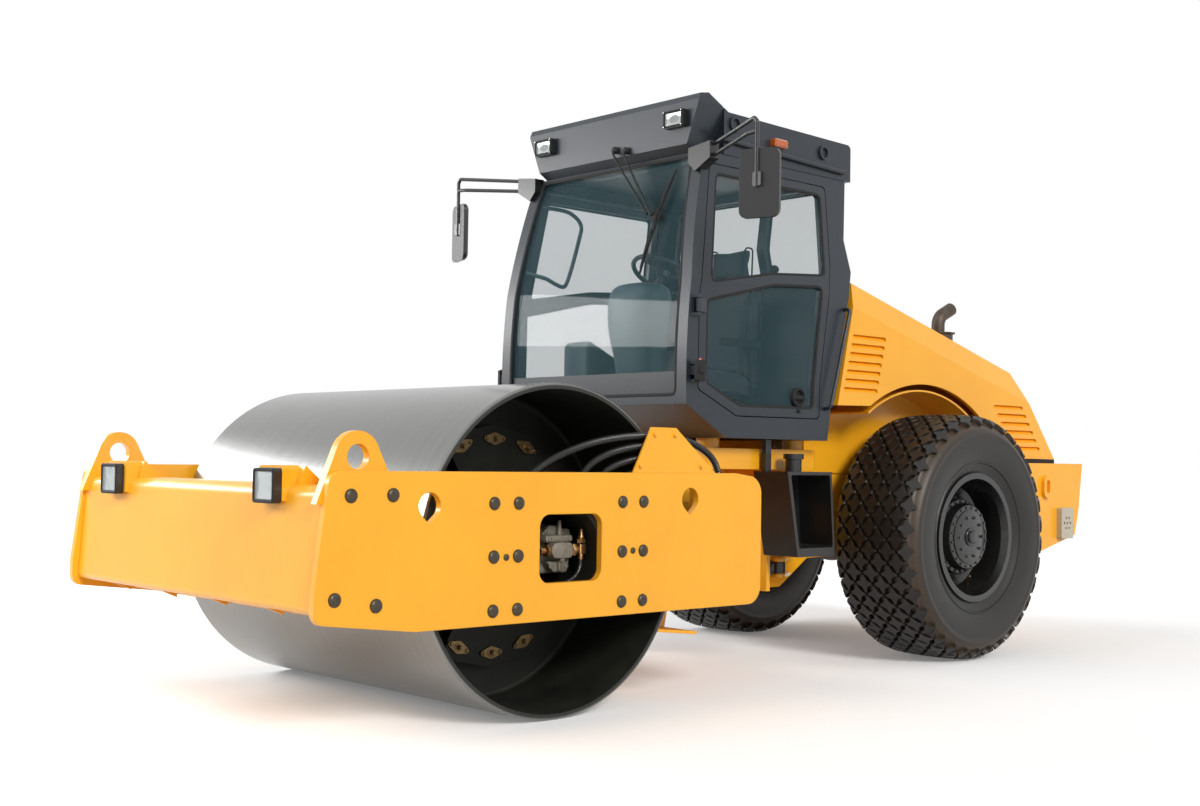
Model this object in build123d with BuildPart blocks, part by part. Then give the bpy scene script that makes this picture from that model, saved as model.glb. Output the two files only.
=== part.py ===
"""Single-drum vibratory soil roller with an articulated frame, a cab and two drive tyres.

Millimetres, +X forward, +Y to the left, +Z up. The origin is on the ground, under the
middle of the machine.
"""
from build123d import *
from math import atan2, cos, degrees, hypot, radians, sin, sqrt, tan
import os

os.makedirs("parts", exist_ok=True)

# Driving dimensions of the whole machine
axle_to_pivot = 1650.0
pivot_to_drum = 1650.0
front_reach = 1322.0
rear_reach = 1540.0
joint_height = 570.0

overall_length = rear_reach + axle_to_pivot + pivot_to_drum + front_reach
axle_x = rear_reach - overall_length / 2
pivot_x = axle_x + axle_to_pivot
drum_x = pivot_x + pivot_to_drum

# Clearances
running_gap = 0.05
seat_gap = 0.5
drum_end_gap = 50.0
scraper_gap = 8.0

# Drum, its heads, and what hangs it on rubber
drum_radius = 765.0
drum_width = 2130.0
shell_wall = 28.0
drum_head_inset = 565.0
drum_head_wall = 24.0
exciter_radius = 210.0
isolator_circle = 510.0
isolator_pitch = 22.5
isolator_radius = 44.0
isolator_bore = 30.0
isolator_height = 62.0
isolator_flange = 10.0
flange_reach = 52.0
lobe_wall = 18.0
lobe_hub_radius = 250.0
lobe_radius = 68.0
stub_radius = 70.0
stub_length = 60.0

# Front frame
plate_wall = 35.0
frame_half_width = drum_width / 2 + drum_end_gap + plate_wall
plate_top = 1123.0
plate_bottom = 462.0
plate_rear = 1290.0
window_length = 370.0
window_height = 305.0
window_z = 782.0
tie_holes = ((778.0, 979.0), (-770.0, 994.0))
tie_hole_radius = 56.0
eye_radius = 52.0
eye_z = 1180.0
eye_ahead = 1110.0
ear_wall = 42.0
ear_radius = 105.0
beam_depth = 285.0
beam_setback = 24.0
beam_bottom = 551.0
beam_top = 1064.0
pod_y = 733.0
pod_top = 1141.0
pod_depth = 130.0
lamp_z = 1056.0
lamp_width = 170.0
lamp_height = 146.0
lamp_depth = 36.0
scraper_z = 478.0
blade_wall = 14.0
rear_scraper_z = 350.0
rear_beam_ahead = 570.0
rear_beam_depth = 220.0
rear_beam_bottom = 480.0
bulkhead_z = 1064.0
carrier_height = 560.0
carrier_length = 960.0
carrier_wall = 30.0
carrier_gap = 6.0
motor_flange_radius = 205.0
motor_radius = 150.0
motor_length = 250.0
guard_top = 1340.0
guard_wall = 10.0

# Hoses: their own radius, and each one's route in the gap beside the drum, measured ahead of the axle.
# The first and last values are the places where it leaves the carrier and meets the bulkhead.
hose_radius = 18.0
hose_routes = (
    (3600.0, (3460.0, 1136.0), (3290.0, 1215.0), (3060.0, 1277.0), (2780.0, 1303.0), (2520.0, 1290.0),
     (2345.0, 1226.0), (2268.0, 1140.0), 2262.0),
    (3250.0, (3176.0, 1134.0), (3060.0, 1202.0), (2880.0, 1245.0), (2680.0, 1254.0), (2500.0, 1228.0),
     (2375.0, 1160.0), 2325.0),
    (3130.0, (3066.0, 1117.0), (2955.0, 1166.0), (2800.0, 1195.0), (2640.0, 1194.0), (2500.0, 1160.0), 2388.0),
    (3015.0, (2950.0, 1096.0), (2830.0, 1131.0), (2690.0, 1142.0), (2560.0, 1124.0), 2432.0))

# Articulation
trunnion_radius = 80.0
hub_radius = 95.0
hub_half_height = 130.0
pin_radius = 45.0
lug_wall = 40.0
lug_gap = 5.0
lug_radius = 125.0
steer_eye_ahead = 100.0
steer_eye_side = 210.0
steer_anchor_behind = 520.0
steer_anchor_side = 505.0
steer_eye_height = 60.0
barrel_radius = 50.0
barrel_length = 410.0
rod_radius = 24.0
rod_length = 450.0

# Wheels
tyre_radius = 745.0
tyre_width = 590.0
tyre_outline = ((60.0, 745.0), (190.0, 741.0), (250.0, 729.0), (280.0, 698.0), (292.0, 650.0), (295.0, 590.0),
                (291.0, 530.0), (279.0, 475.0), (258.0, 425.0), (233.0, 396.0), (233.0, 372.0))
wheel_y = 860.0
bead_radius = 372.0
rim_disc_wall = 16.0
cover_length = 130.0

# Tractor frame
rail_y = 450.0
rail_wall = 30.0
rail_top = 1190.0
rail_bottom = 450.0
front_wall_ahead = 1360.0
front_wall_half_width = 620.0
deck_bottom = 1140.0
deck_top = 1255.0
deck_front = 1870.0
deck_rear = 950.0
deck_half_width = 640.0
bumper_half_width = 950.0
bumper_top = 1200.0
tie_plate_wall = 24.0
axle_tube_radius = 115.0
axle_hub_radius = 170.0
axle_stub_radius = 80.0
final_drive_y = 600.0
fender_wall = 12.0
fender_y = 745.0
fender_arch = ((-600.0, 1396.0), (-20.0, 1640.0), (600.0, 1490.0))
step_y = 870.0
step_wall = 10.0

# Cab
cab_half_width = 770.0
cab_roof_half_width = 700.0
cab_belt = 2150.0
cab_roof_z = 2850.0
visor_ahead = 1850.0
cab_floor_z = 1309.0
cab_wall = 45.0
glass_wall = 8.0
door_gap = 6.0
door_hinge_ahead = 2120.0
door_hinge_y = 792.0
door_hinge_levels = (1650.0, 2000.0)
hinge_length = 70.0
hinge_pin_radius = 7.0
mirror_bracket_ahead = 2060.0
mirror_ahead = 2180.0
mirror_y = 1240.0
mirror_turn = 18.0
mirror_z = 2580.0
mirror_width = 220.0
mirror_height = 350.0
wiper_y = 110.0
seat_half_width = 245.0
wheel_ahead = 1600.0
wheel_z = 2270.0

# Hood
hood_half_width = 780.0
hood_crown_half_width = 735.0
hood_crown_drop = 150.0
hood_wall = 25.0
hood_hinge_x = axle_x - 1475.0
hood_hinge_y = 420.0
hood_hinge_z = 1230.0
slot_height = 26.0
louvre_fields = ((7, (800.0, 1925.0), (879.0, 1612.0), 320.0), (6, (-690.0, 1565.0), (-905.0, 1296.0), 350.0))
stub_top = 2088.0


def keep(piece, name):
    """Labels a finished piece and writes its file."""
    piece.part.label = name
    export_step(piece.part, f"parts/{name}.step")


def side_plane(y):
    """The upright plane across the machine's side at y, whose normal points to the right."""
    return Plane.XZ.offset(-y)


def shifted(datum, points):
    """Points given ahead of a datum, in the machine's frame."""
    return [(datum + x, z) for x, z in points]


def keep_pair(piece, name):
    """Writes a left piece and its mirror image."""
    keep(piece, f"{name}_left")
    with BuildPart() as right:
        mirror(piece.part, about=Plane.XZ)
    keep(right, f"{name}_right")


# Drum


def build_drum_shell():
    """The rolled shell with its two deep-set heads."""
    half = drum_width / 2
    bore = drum_radius - shell_wall
    head = half - drum_head_inset
    low = exciter_radius + seat_gap
    with BuildPart() as shell:
        with BuildSketch(Plane.YZ.offset(drum_x)):
            with Locations((0, 2 * drum_radius - shell_wall / 2)):
                Rectangle(drum_width, shell_wall)
            for side in (-1, 1):
                with Locations((side * (head - drum_head_wall / 2), drum_radius + (low + bore) / 2)):
                    Rectangle(drum_head_wall, bore - low + 1.0)
        revolve(axis=Axis((drum_x, 0, drum_radius), (0, 1, 0)))
        circles = shell.edges().filter_by(GeomType.CIRCLE)
        rims = circles.filter_by(lambda e: abs(e.center().Y) > half - 1 and e.radius > drum_radius - 1)
        chamfer(rims, length=6.0)
        corners = circles.filter_by(lambda e: abs(abs(e.center().Y) - head) < 1 and abs(e.radius - bore) < 1)
        fillet(corners, radius=20.0)
    keep(shell, "drum_shell")


def build_exciter():
    """The exciter housing, a closed cylinder between the drum's heads."""
    half = drum_width / 2 - drum_head_inset
    with BuildPart() as exciter:
        with Locations((drum_x, 0, drum_radius)):
            Cylinder(exciter_radius, 2 * half, rotation=(90, 0, 0))
    keep(exciter, "exciter_housing")


def isolator_places():
    """The angles of the isolators round the drum's axis: four groups of three."""
    return [group * 90.0 + step * isolator_pitch for group in range(4) for step in (-1, 0, 1)]


def head_plane(side, depth):
    """The plane across the drum's axis on one side, depth outside of that side's head."""
    face = drum_width / 2 - drum_head_inset
    return Plane((drum_x, side * (face + depth), drum_radius), x_dir=(1, 0, 0), z_dir=(0, side, 0))


def build_isolators():
    """The rubber isolators on both heads, each with its diamond flange and nut outside the lobed plate."""
    outside = isolator_height + lobe_wall
    with BuildPart() as isolators:
        for side in (-1, 1):
            for angle in isolator_places():
                with BuildSketch(head_plane(side, 0)):
                    with PolarLocations(isolator_circle, 1, start_angle=angle):
                        Circle(isolator_radius)
                extrude(amount=isolator_height)
                with BuildSketch(head_plane(side, isolator_height)):
                    with PolarLocations(isolator_circle, 1, start_angle=angle):
                        Circle(isolator_bore)
                extrude(amount=lobe_wall)
                with BuildSketch(head_plane(side, outside)):
                    with PolarLocations(isolator_circle, 1, start_angle=angle):
                        Circle(isolator_bore)
                        with Locations((0, flange_reach), (0, -flange_reach)):
                            Circle(12.0)
                        make_hull()
                extrude(amount=isolator_flange)
                with BuildSketch(head_plane(side, outside + isolator_flange)):
                    with PolarLocations(isolator_circle, 1, start_angle=angle):
                        RegularPolygon(15.0, 6)
                extrude(amount=13.0)
    keep(isolators, "isolators")


# Front frame


def build_drum_plates():
    """The lobed plates that the isolators carry, each with the stub that turns in its motor."""
    with BuildPart() as plates:
        for side in (-1, 1):
            with BuildSketch(head_plane(side, isolator_height)) as lobes:
                Circle(lobe_hub_radius)
                for group in range(4):
                    with BuildSketch(mode=Mode.PRIVATE) as lobe:
                        for step in (-1, 0, 1):
                            with PolarLocations(isolator_circle, 1, start_angle=group * 90 + step * isolator_pitch):
                                Circle(lobe_radius)
                        with PolarLocations(lobe_hub_radius * 0.5, 1, start_angle=group * 90):
                            Circle(lobe_radius)
                        make_hull()
                    add(lobe.sketch)
                for angle in isolator_places():
                    with PolarLocations(isolator_circle, 1, start_angle=angle):
                        Circle(isolator_bore, mode=Mode.SUBTRACT)
            extrude(amount=lobe_wall)
            with BuildSketch(head_plane(side, isolator_height + lobe_wall)):
                Circle(stub_radius)
            extrude(amount=stub_length)
    keep(plates, "drum_plates")


def teardrop(x, z, radius):
    """A round hole drawn out to a point at its foot, cut from the current sketch."""
    with BuildSketch(mode=Mode.PRIVATE) as drop:
        with Locations((x, z)):
            Circle(radius)
        with Locations((x, z - 1.25 * radius)):
            Circle(4.0)
        make_hull()
    add(drop.sketch, mode=Mode.SUBTRACT)


def build_side_plates():
    """The long side plates of the drum frame, with the motor windows and tie-down holes."""
    outline = shifted(drum_x, [
        (front_reach, 520.0), (front_reach, 640.0), (front_reach - 62.0, plate_top),
        (190.0 - plate_rear, plate_top), (-plate_rear, plate_top - 25.0), (-plate_rear, plate_bottom),
        (840.0, plate_bottom)])
    with BuildPart() as plate:
        with BuildSketch(side_plane(frame_half_width)) as face:
            with BuildLine():
                Polyline(*outline, close=True)
            make_face()
            fillet(face.vertices().group_by(Axis.X)[0], radius=90.0)
            fillet(face.vertices().group_by(Axis.X)[-1].sort_by(Axis.Y)[0], radius=50.0)
            top = face.vertices().filter_by(lambda v: v.Y > plate_top - 1.0).sort_by(Axis.X)
            fillet(top[-1], radius=60.0)
            with Locations((drum_x - 5.0, window_z)):
                RectangleRounded(window_length, window_height, 55.0, mode=Mode.SUBTRACT)
            for ahead, z in tie_holes:
                teardrop(drum_x + ahead, z, tie_hole_radius)
        extrude(amount=plate_wall)
        chamfer(plate.edges().group_by(Axis.Y)[-1], length=3.0)
    keep_pair(plate, "side_plate")


def build_front_crossbeam():
    """The front box beam with its two lifting ears and the pods that carry the headlamps."""
    inner = frame_half_width - plate_wall
    nose = drum_x + front_reach - beam_setback
    back = nose - beam_depth
    ear_x = drum_x + eye_ahead
    with BuildPart() as beam:
        with BuildSketch(side_plane(inner)) as section:
            with BuildLine():
                Polyline((back, beam_bottom), (nose, beam_bottom), (nose - 40.0, beam_top),
                         (back, beam_top), close=True)
            make_face()
            fillet(section.vertices().sort_by(Axis.Y)[-2:], radius=55.0)
            fillet(section.vertices().sort_by(Axis.Y)[:2], radius=25.0)
        extrude(amount=2 * inner)
        for side in (-1, 1):
            far = inner if side > 0 else -inner + ear_wall
            with BuildSketch(side_plane(far)):
                with Locations((ear_x, eye_z)):
                    Circle(ear_radius)
                with Locations((ear_x - 10.0, beam_top - 44.0)):
                    Trapezoid(400.0, 60.0, 62.0)
                make_hull()
                with Locations((ear_x, eye_z)):
                    Circle(eye_radius, mode=Mode.SUBTRACT)
            extrude(amount=ear_wall)
            with BuildSketch(Plane.YZ.offset(nose - pod_depth)) as pod:
                with BuildLine():
                    Polyline((side * (pod_y - 105.0), beam_top - 70.0), (side * (pod_y - 105.0), pod_top),
                             (side * (pod_y + 88.0), pod_top), (side * (pod_y + 88.0), beam_top - 70.0), close=True)
                make_face()
                fillet(pod.vertices().sort_by(Axis.Y)[-2:], radius=22.0)
            extrude(amount=pod_depth - 18.0)
            with BuildSketch(side_plane(side * pod_y + 130.0)):
                with BuildLine():
                    Polyline((nose - pod_depth - 90.0, beam_top - 20.0), (nose - pod_depth + 30.0, pod_top),
                             (nose - pod_depth + 60.0, beam_top - 20.0), close=True)
                make_face()
            extrude(amount=260.0)
    keep(beam, "front_crossbeam")


def build_headlights():
    """The two rectangular headlamps in their frames, on the pods' faces."""
    face = drum_x + front_reach - beam_setback - 18.0
    with BuildPart() as lamps:
        for side in (-1, 1):
            with BuildSketch(Plane.YZ.offset(face)):
                with Locations((side * pod_y, lamp_z)):
                    RectangleRounded(lamp_width, lamp_height, 16.0)
            extrude(amount=lamp_depth)
            with BuildSketch(Plane.YZ.offset(face + lamp_depth)):
                with Locations((side * pod_y, lamp_z)):
                    RectangleRounded(lamp_width - 36.0, lamp_height - 34.0, 9.0)
            extrude(amount=-12.0, mode=Mode.SUBTRACT)
    keep(lamps, "headlights")


def rear_beam_form():
    """The rear box beam's plain section across the machine."""
    inner = frame_half_width - plate_wall
    face = pivot_x + rear_beam_ahead
    with BuildPart() as form:
        with BuildSketch(side_plane(inner)):
            with BuildLine():
                Polyline((face, rear_beam_bottom), (face + rear_beam_depth, rear_beam_bottom + 20.0),
                         (face + rear_beam_depth, 980.0), (face, 1060.0), close=True)
            make_face()
        extrude(amount=2 * inner)
    return form.part


def build_rear_crossbeam():
    """The rear box beam of the drum frame, with the housing of the oscillation bearing."""
    inner = frame_half_width - plate_wall
    face = pivot_x + rear_beam_ahead
    mouth = pivot_x + 200.0
    with BuildPart() as beam:
        add(rear_beam_form())
        for side in (-1, 1):
            with BuildSketch(side_plane(inner if side > 0 else -inner + 60.0)):
                Polygon((face, 900.0), (face + rear_beam_depth, 900.0), (face + rear_beam_depth, bulkhead_z),
                        (face, bulkhead_z), align=None)
            extrude(amount=60.0)
        with BuildSketch(Plane.YZ.offset(mouth)):
            with Locations((0, joint_height)):
                Circle(trunnion_radius + 62.0)
        extrude(amount=face - mouth)
        with BuildSketch(Plane.YZ.offset(face - 40.0)):
            with Locations((0, joint_height)):
                RectangleRounded(420.0, 270.0, 30.0)
        extrude(amount=40.0)
        for turn in range(4):
            plane = Plane((face, 0, joint_height), x_dir=(-1, 0, 0), z_dir=(0, 1, 0)).rotated((turn * 90 + 45, 0, 0))
            with BuildSketch(plane.offset(-8.0)):
                Polygon((0, 0), (0, 200.0), (face - mouth - 40.0, 120.0), (face - mouth - 40.0, 0), align=None)
            extrude(amount=16.0)
        with BuildSketch(Plane.YZ.offset(mouth)):
            with Locations((0, joint_height)):
                Circle(trunnion_radius + running_gap)
        extrude(amount=face - mouth - 20.0, mode=Mode.SUBTRACT)
    keep(beam, "rear_crossbeam")


def build_scrapers():
    """The scraper bars ahead of and behind the drum, hung on brackets from both crossbeams."""
    half = drum_width / 2 - 15.0
    front = drum_x + front_reach - beam_setback - beam_depth
    rear = pivot_x + rear_beam_ahead
    ahead = sqrt(drum_radius ** 2 - (drum_radius - scraper_z - blade_wall) ** 2)
    behind = sqrt(drum_radius ** 2 - (drum_radius - rear_scraper_z - blade_wall) ** 2)
    with BuildPart() as scrapers:
        with BuildSketch(side_plane(half)):
            with BuildLine():
                Polyline((front + 60.0, beam_bottom), (front + 60.0, beam_bottom - 45.0),
                         (drum_x + ahead + scraper_gap, scraper_z), (drum_x + ahead + scraper_gap, scraper_z + blade_wall),
                         (front + 46.0, beam_bottom - 34.0), (front + 46.0, beam_bottom), close=True)
            make_face()
        extrude(amount=2 * half)
        for place in range(5):
            y = (place - 2) * (half - 60.0) / 2
            with BuildSketch(side_plane(y + 8.0)):
                Polygon((front + 60.0, beam_bottom), (front + 200.0, beam_bottom),
                        (front + 60.0, beam_bottom - 60.0), align=None)
            extrude(amount=16.0)
        with BuildSketch(side_plane(half)):
            with BuildLine():
                Polyline((rear + 150.0, rear_scraper_z - 30.0), (drum_x - behind - scraper_gap, rear_scraper_z),
                         (drum_x - behind - scraper_gap, rear_scraper_z + blade_wall),
                         (rear + 150.0, rear_scraper_z - 14.0), close=True)
            make_face()
        extrude(amount=2 * half)
        for place in range(4):
            y = (place - 1.5) * half / 2
            with BuildSketch(side_plane(y + 30.0)):
                Polygon((rear + 110.0, rear_beam_bottom + 30.0), (rear + 200.0, rear_beam_bottom + 30.0),
                        (rear + 230.0, rear_scraper_z - 10.0), (rear + 150.0, rear_scraper_z - 30.0), align=None)
            extrude(amount=60.0)
        add(rear_beam_form(), mode=Mode.SUBTRACT)
    keep(scrapers, "scrapers")


def build_drum_carriers():
    """The carrier plates inside the side plates, with the tubes that reach into the drum."""
    face = frame_half_width - plate_wall
    depth = face - carrier_wall - (drum_width / 2 - drum_head_inset + isolator_height + lobe_wall + carrier_gap)
    with BuildPart() as carriers:
        for side in (-1, 1):
            plane = Plane((drum_x, side * face, drum_radius), x_dir=(1, 0, 0), z_dir=(0, -side, 0))
            with BuildSketch(plane):
                RectangleRounded(carrier_length, carrier_height, 40.0)
                Circle(motor_flange_radius, mode=Mode.SUBTRACT)
            extrude(amount=carrier_wall)
            with BuildSketch(plane.offset(carrier_wall)):
                Circle(motor_flange_radius + 28.0)
                Circle(motor_flange_radius, mode=Mode.SUBTRACT)
            extrude(amount=depth)
    keep(carriers, "drum_carriers")


def build_drum_motors():
    """The drum motor on the left and the exciter motor on the right, seated in the carrier tubes."""
    root = isolator_height + lobe_wall + carrier_gap
    with BuildPart() as motors:
        for side in (-1, 1):
            with BuildSketch(head_plane(side, root)):
                Circle(motor_flange_radius)
            extrude(amount=24.0)
            with BuildSketch(head_plane(side, root)):
                Circle(motor_radius)
            extrude(amount=motor_length)
            with BuildSketch(head_plane(side, root + motor_length)):
                with Locations((0, 18.0)):
                    RectangleRounded(130.0, 150.0, 18.0)
            extrude(amount=70.0)
            with BuildSketch(head_plane(side, root + motor_length)):
                with Locations((0, -28.0)):
                    Ellipse(88.0, 34.0)
            extrude(amount=96.0)
            port = Plane((drum_x - 30.0, side * (head_plane(side, root + motor_length).origin.Y * side + 48.0),
                          drum_radius + 93.0), z_dir=(0, 0, 1))
            with BuildSketch(port):
                with Locations((0, 0), (70.0, 0)):
                    Circle(19.0)
            extrude(amount=44.0)
            with BuildSketch(head_plane(side, root)):
                Circle(stub_radius + running_gap)
            extrude(amount=stub_length - carrier_gap + 2.0, mode=Mode.SUBTRACT)
    keep(motors, "drum_motors")


def bend_radii(points):
    """The radius of each bend of a hose's route: 0.45 of the shorter run beside it, eased by its turn."""
    radii = []
    for before, here, after in zip(points, points[1:], points[2:]):
        first = Vector(here[0] - before[0], here[1] - before[1])
        second = Vector(after[0] - here[0], after[1] - here[1])
        half_turn = radians(first.get_angle(second)) / 2
        radii.append(0.45 * min(first.length, second.length) / tan(half_turn))
    return radii


def build_hoses():
    """The drum motor's hoses, nested in the gap between the drum and the left side plate."""
    y = (drum_width / 2 + frame_half_width - plate_wall) / 2
    start = drum_radius + carrier_height / 2
    with BuildPart() as hoses:
        for route in hose_routes:
            points = shifted(axle_x, [(route[0], start - hose_radius), *route[1:-1],
                                      (route[-1], bulkhead_z - hose_radius)])
            with BuildLine(side_plane(y)):
                path = FilletPolyline(*points, radius=bend_radii(points))
            with BuildSketch(Plane(origin=path @ 0, z_dir=path % 0)):
                Circle(hose_radius)
            sweep(path=path)
        with Locations((drum_x, y, start - carrier_height / 2)):
            Box(carrier_length, 4 * hose_radius, carrier_height, mode=Mode.SUBTRACT)
        with Locations((pivot_x + rear_beam_ahead + rear_beam_depth / 2, y, bulkhead_z - 2 * hose_radius)):
            Box(rear_beam_depth, 4 * hose_radius, 4 * hose_radius, mode=Mode.SUBTRACT)
    keep(hoses, "hoses")


def build_hose_guard():
    """The upright guard plate on the left side plate, outside the hoses."""
    with BuildPart() as guard:
        with BuildSketch(side_plane(frame_half_width - 2.0)):
            with BuildLine():
                Polyline(*shifted(drum_x, [(-382.0, plate_top), (-500.0, guard_top),
                                           (-666.0, guard_top), (-947.0, plate_top)]), close=True)
            make_face()
        extrude(amount=guard_wall)
    keep(guard, "hose_guard")


# Articulation


def build_pivot_block():
    """The centre joint: the hub on the steering pin, the oscillation trunnion and both steering arms."""
    length = rear_beam_ahead - 30.0
    with BuildPart() as block:
        with Locations((pivot_x, 0, joint_height)):
            Cylinder(hub_radius, 2 * hub_half_height)
        with BuildSketch(Plane.YZ.offset(pivot_x)):
            with Locations((0, joint_height)):
                Circle(trunnion_radius)
        extrude(amount=length)
        with BuildSketch(Plane.YZ.offset(pivot_x + 60.0)):
            with Locations((0, joint_height)):
                Circle(trunnion_radius + 40.0)
        extrude(amount=120.0)
        for level in (-1, 1):
            low = joint_height + level * (steer_eye_height / 2 + lug_gap + 10.0) - 10.0
            with BuildSketch(Plane.XY.offset(low)):
                with Locations((pivot_x + steer_eye_ahead, steer_eye_side),
                               (pivot_x + steer_eye_ahead, -steer_eye_side)):
                    Circle(46.0)
                with Locations((pivot_x + steer_eye_ahead, 0)):
                    Rectangle(90.0, 60.0)
                make_hull()
            extrude(amount=20.0)
        with Locations((pivot_x, 0, joint_height)):
            Cylinder(pin_radius + running_gap, 2 * hub_half_height, mode=Mode.SUBTRACT)
    keep(block, "pivot_block")


def steer_line():
    """The left steering cylinder's anchor, its length at rest and its heading in degrees."""
    anchor = (pivot_x - steer_anchor_behind, steer_anchor_side)
    run = (steer_anchor_behind + steer_eye_ahead, steer_eye_side - steer_anchor_side)
    return anchor, hypot(*run), degrees(atan2(run[1], run[0]))


def build_steer_cylinders():
    """The steering barrels, each with its rear eye, and their rods with the front eyes."""
    anchor, length, heading = steer_line()
    plane = Plane((anchor[0], anchor[1], joint_height), x_dir=(cos(radians(heading)), sin(radians(heading)), 0),
                  z_dir=(0, 0, 1))
    across = Plane(plane.origin, x_dir=(0, 0, 1), z_dir=plane.x_dir)
    with BuildPart() as barrel:
        with BuildSketch(plane.offset(-steer_eye_height / 2)):
            Circle(46.0)
        extrude(amount=steer_eye_height)
        with BuildSketch(across.offset(30.0)):
            RectangleRounded(steer_eye_height, 60.0, 8.0)
        extrude(amount=30.0)
        with BuildSketch(across.offset(56.0)):
            Circle(barrel_radius)
        extrude(amount=barrel_length - 56.0)
        with BuildSketch(across.offset(90.0)):
            Circle(rod_radius + running_gap)
        extrude(amount=barrel_length, mode=Mode.SUBTRACT)
        with BuildSketch(plane.offset(-steer_eye_height / 2)):
            Circle(25.0)
        extrude(amount=steer_eye_height, mode=Mode.SUBTRACT)
    with BuildPart() as rod:
        with BuildSketch(across.offset(length - rod_length)):
            Circle(rod_radius)
        extrude(amount=rod_length)
        with BuildSketch(plane.offset(-steer_eye_height / 2)):
            with Locations((length, 0)):
                Circle(44.0)
        extrude(amount=steer_eye_height)
    keep_pair(barrel, "steer_barrel")
    keep_pair(rod, "steer_rod")


# Tractor


def bumper_front(z):
    """How far behind the axle the counterweight's sloped front face stands at height z."""
    return -754.0 - (bumper_top - z) * (963.0 - 754.0) / (bumper_top - 613.0)


def build_chassis():
    """The tractor frame: rails, front wall, cab deck, pivot lugs with their pin, and steering brackets."""
    nose = axle_x + front_wall_ahead
    rail = shifted(axle_x, [
        (front_wall_ahead, rail_top), (front_wall_ahead, rail_bottom), (1050.0, rail_bottom), (800.0, 610.0),
        (bumper_front(640.0), 640.0), (bumper_front(rail_top), rail_top)])
    anchor_x = pivot_x - steer_anchor_behind
    with BuildPart() as chassis:
        for side in (-1, 1):
            near = rail_y if side > 0 else -rail_y + rail_wall
            with BuildSketch(side_plane(near)):
                with BuildLine():
                    Polyline(*rail, close=True)
                make_face()
                with Locations((axle_x, tyre_radius)):
                    Circle(axle_tube_radius + seat_gap, mode=Mode.SUBTRACT)
                with Locations((anchor_x + 130.0, joint_height)):
                    Rectangle(220.0, 140.0, mode=Mode.SUBTRACT)
            extrude(amount=rail_wall)
        with BuildSketch(Plane.YZ.offset(nose)):
            with Locations((0, (rail_bottom + rail_top) / 2)):
                Rectangle(2 * front_wall_half_width, rail_top - rail_bottom)
            with Locations((410.0, joint_height), (-410.0, joint_height)):
                RectangleRounded(230.0, 150.0, 20.0, mode=Mode.SUBTRACT)
        extrude(amount=-rail_wall)
        with BuildSketch(Plane.XY.offset(deck_bottom)):
            with Locations((axle_x + (deck_front + deck_rear) / 2, 0)):
                RectangleRounded(deck_front - deck_rear, 2 * deck_half_width, 30.0)
        extrude(amount=deck_top - deck_bottom)
        with BuildSketch(Plane.XY.offset(deck_top)):
            with Locations((axle_x + (deck_front + deck_rear) / 2, 0)):
                with GridLocations(deck_front - deck_rear - 200.0, 2 * deck_half_width - 200.0, 2, 2):
                    Circle(65.0)
        extrude(amount=cab_floor_z - deck_top)
        for y in (300.0, -280.0):
            with BuildSketch(side_plane(y)):
                with BuildLine():
                    Polyline((nose, deck_bottom), (nose, 860.0), (axle_x + deck_front - 100.0, deck_bottom), close=True)
                make_face()
            extrude(amount=20.0)
        for level in (-1, 1):
            low = joint_height + level * (hub_half_height + lug_gap + lug_wall / 2) - lug_wall / 2
            with BuildSketch(Plane.XY.offset(low)):
                with Locations((pivot_x, 0)):
                    Circle(lug_radius)
                with Locations((nose + 5.0, 0)):
                    Rectangle(10.0, 460.0)
                make_hull()
            extrude(amount=lug_wall)
        with Locations((pivot_x, 0, joint_height)):
            Cylinder(pin_radius, 2 * (hub_half_height + lug_gap + lug_wall) + 24.0)
            for level in (-1, 1):
                with Locations((0, 0, level * (hub_half_height + lug_gap + lug_wall + 16.0))):
                    Cylinder(pin_radius + 25.0, 32.0)
        for side in (-1, 1):
            for level in (-1, 1):
                low = joint_height + level * (steer_eye_height / 2 + lug_gap + 10.0) - 10.0
                with BuildSketch(Plane.XY.offset(low)):
                    with Locations((anchor_x, side * steer_anchor_side)):
                        Circle(46.0)
                    with Locations((anchor_x - 85.0, side * (rail_y + 5.0))):
                        Rectangle(170.0, 10.0)
                    make_hull()
                extrude(amount=20.0)
            with Locations((anchor_x, side * steer_anchor_side, joint_height)):
                Cylinder(25.0 - running_gap, steer_eye_height + 2 * lug_gap)
    keep(chassis, "chassis")


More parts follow.
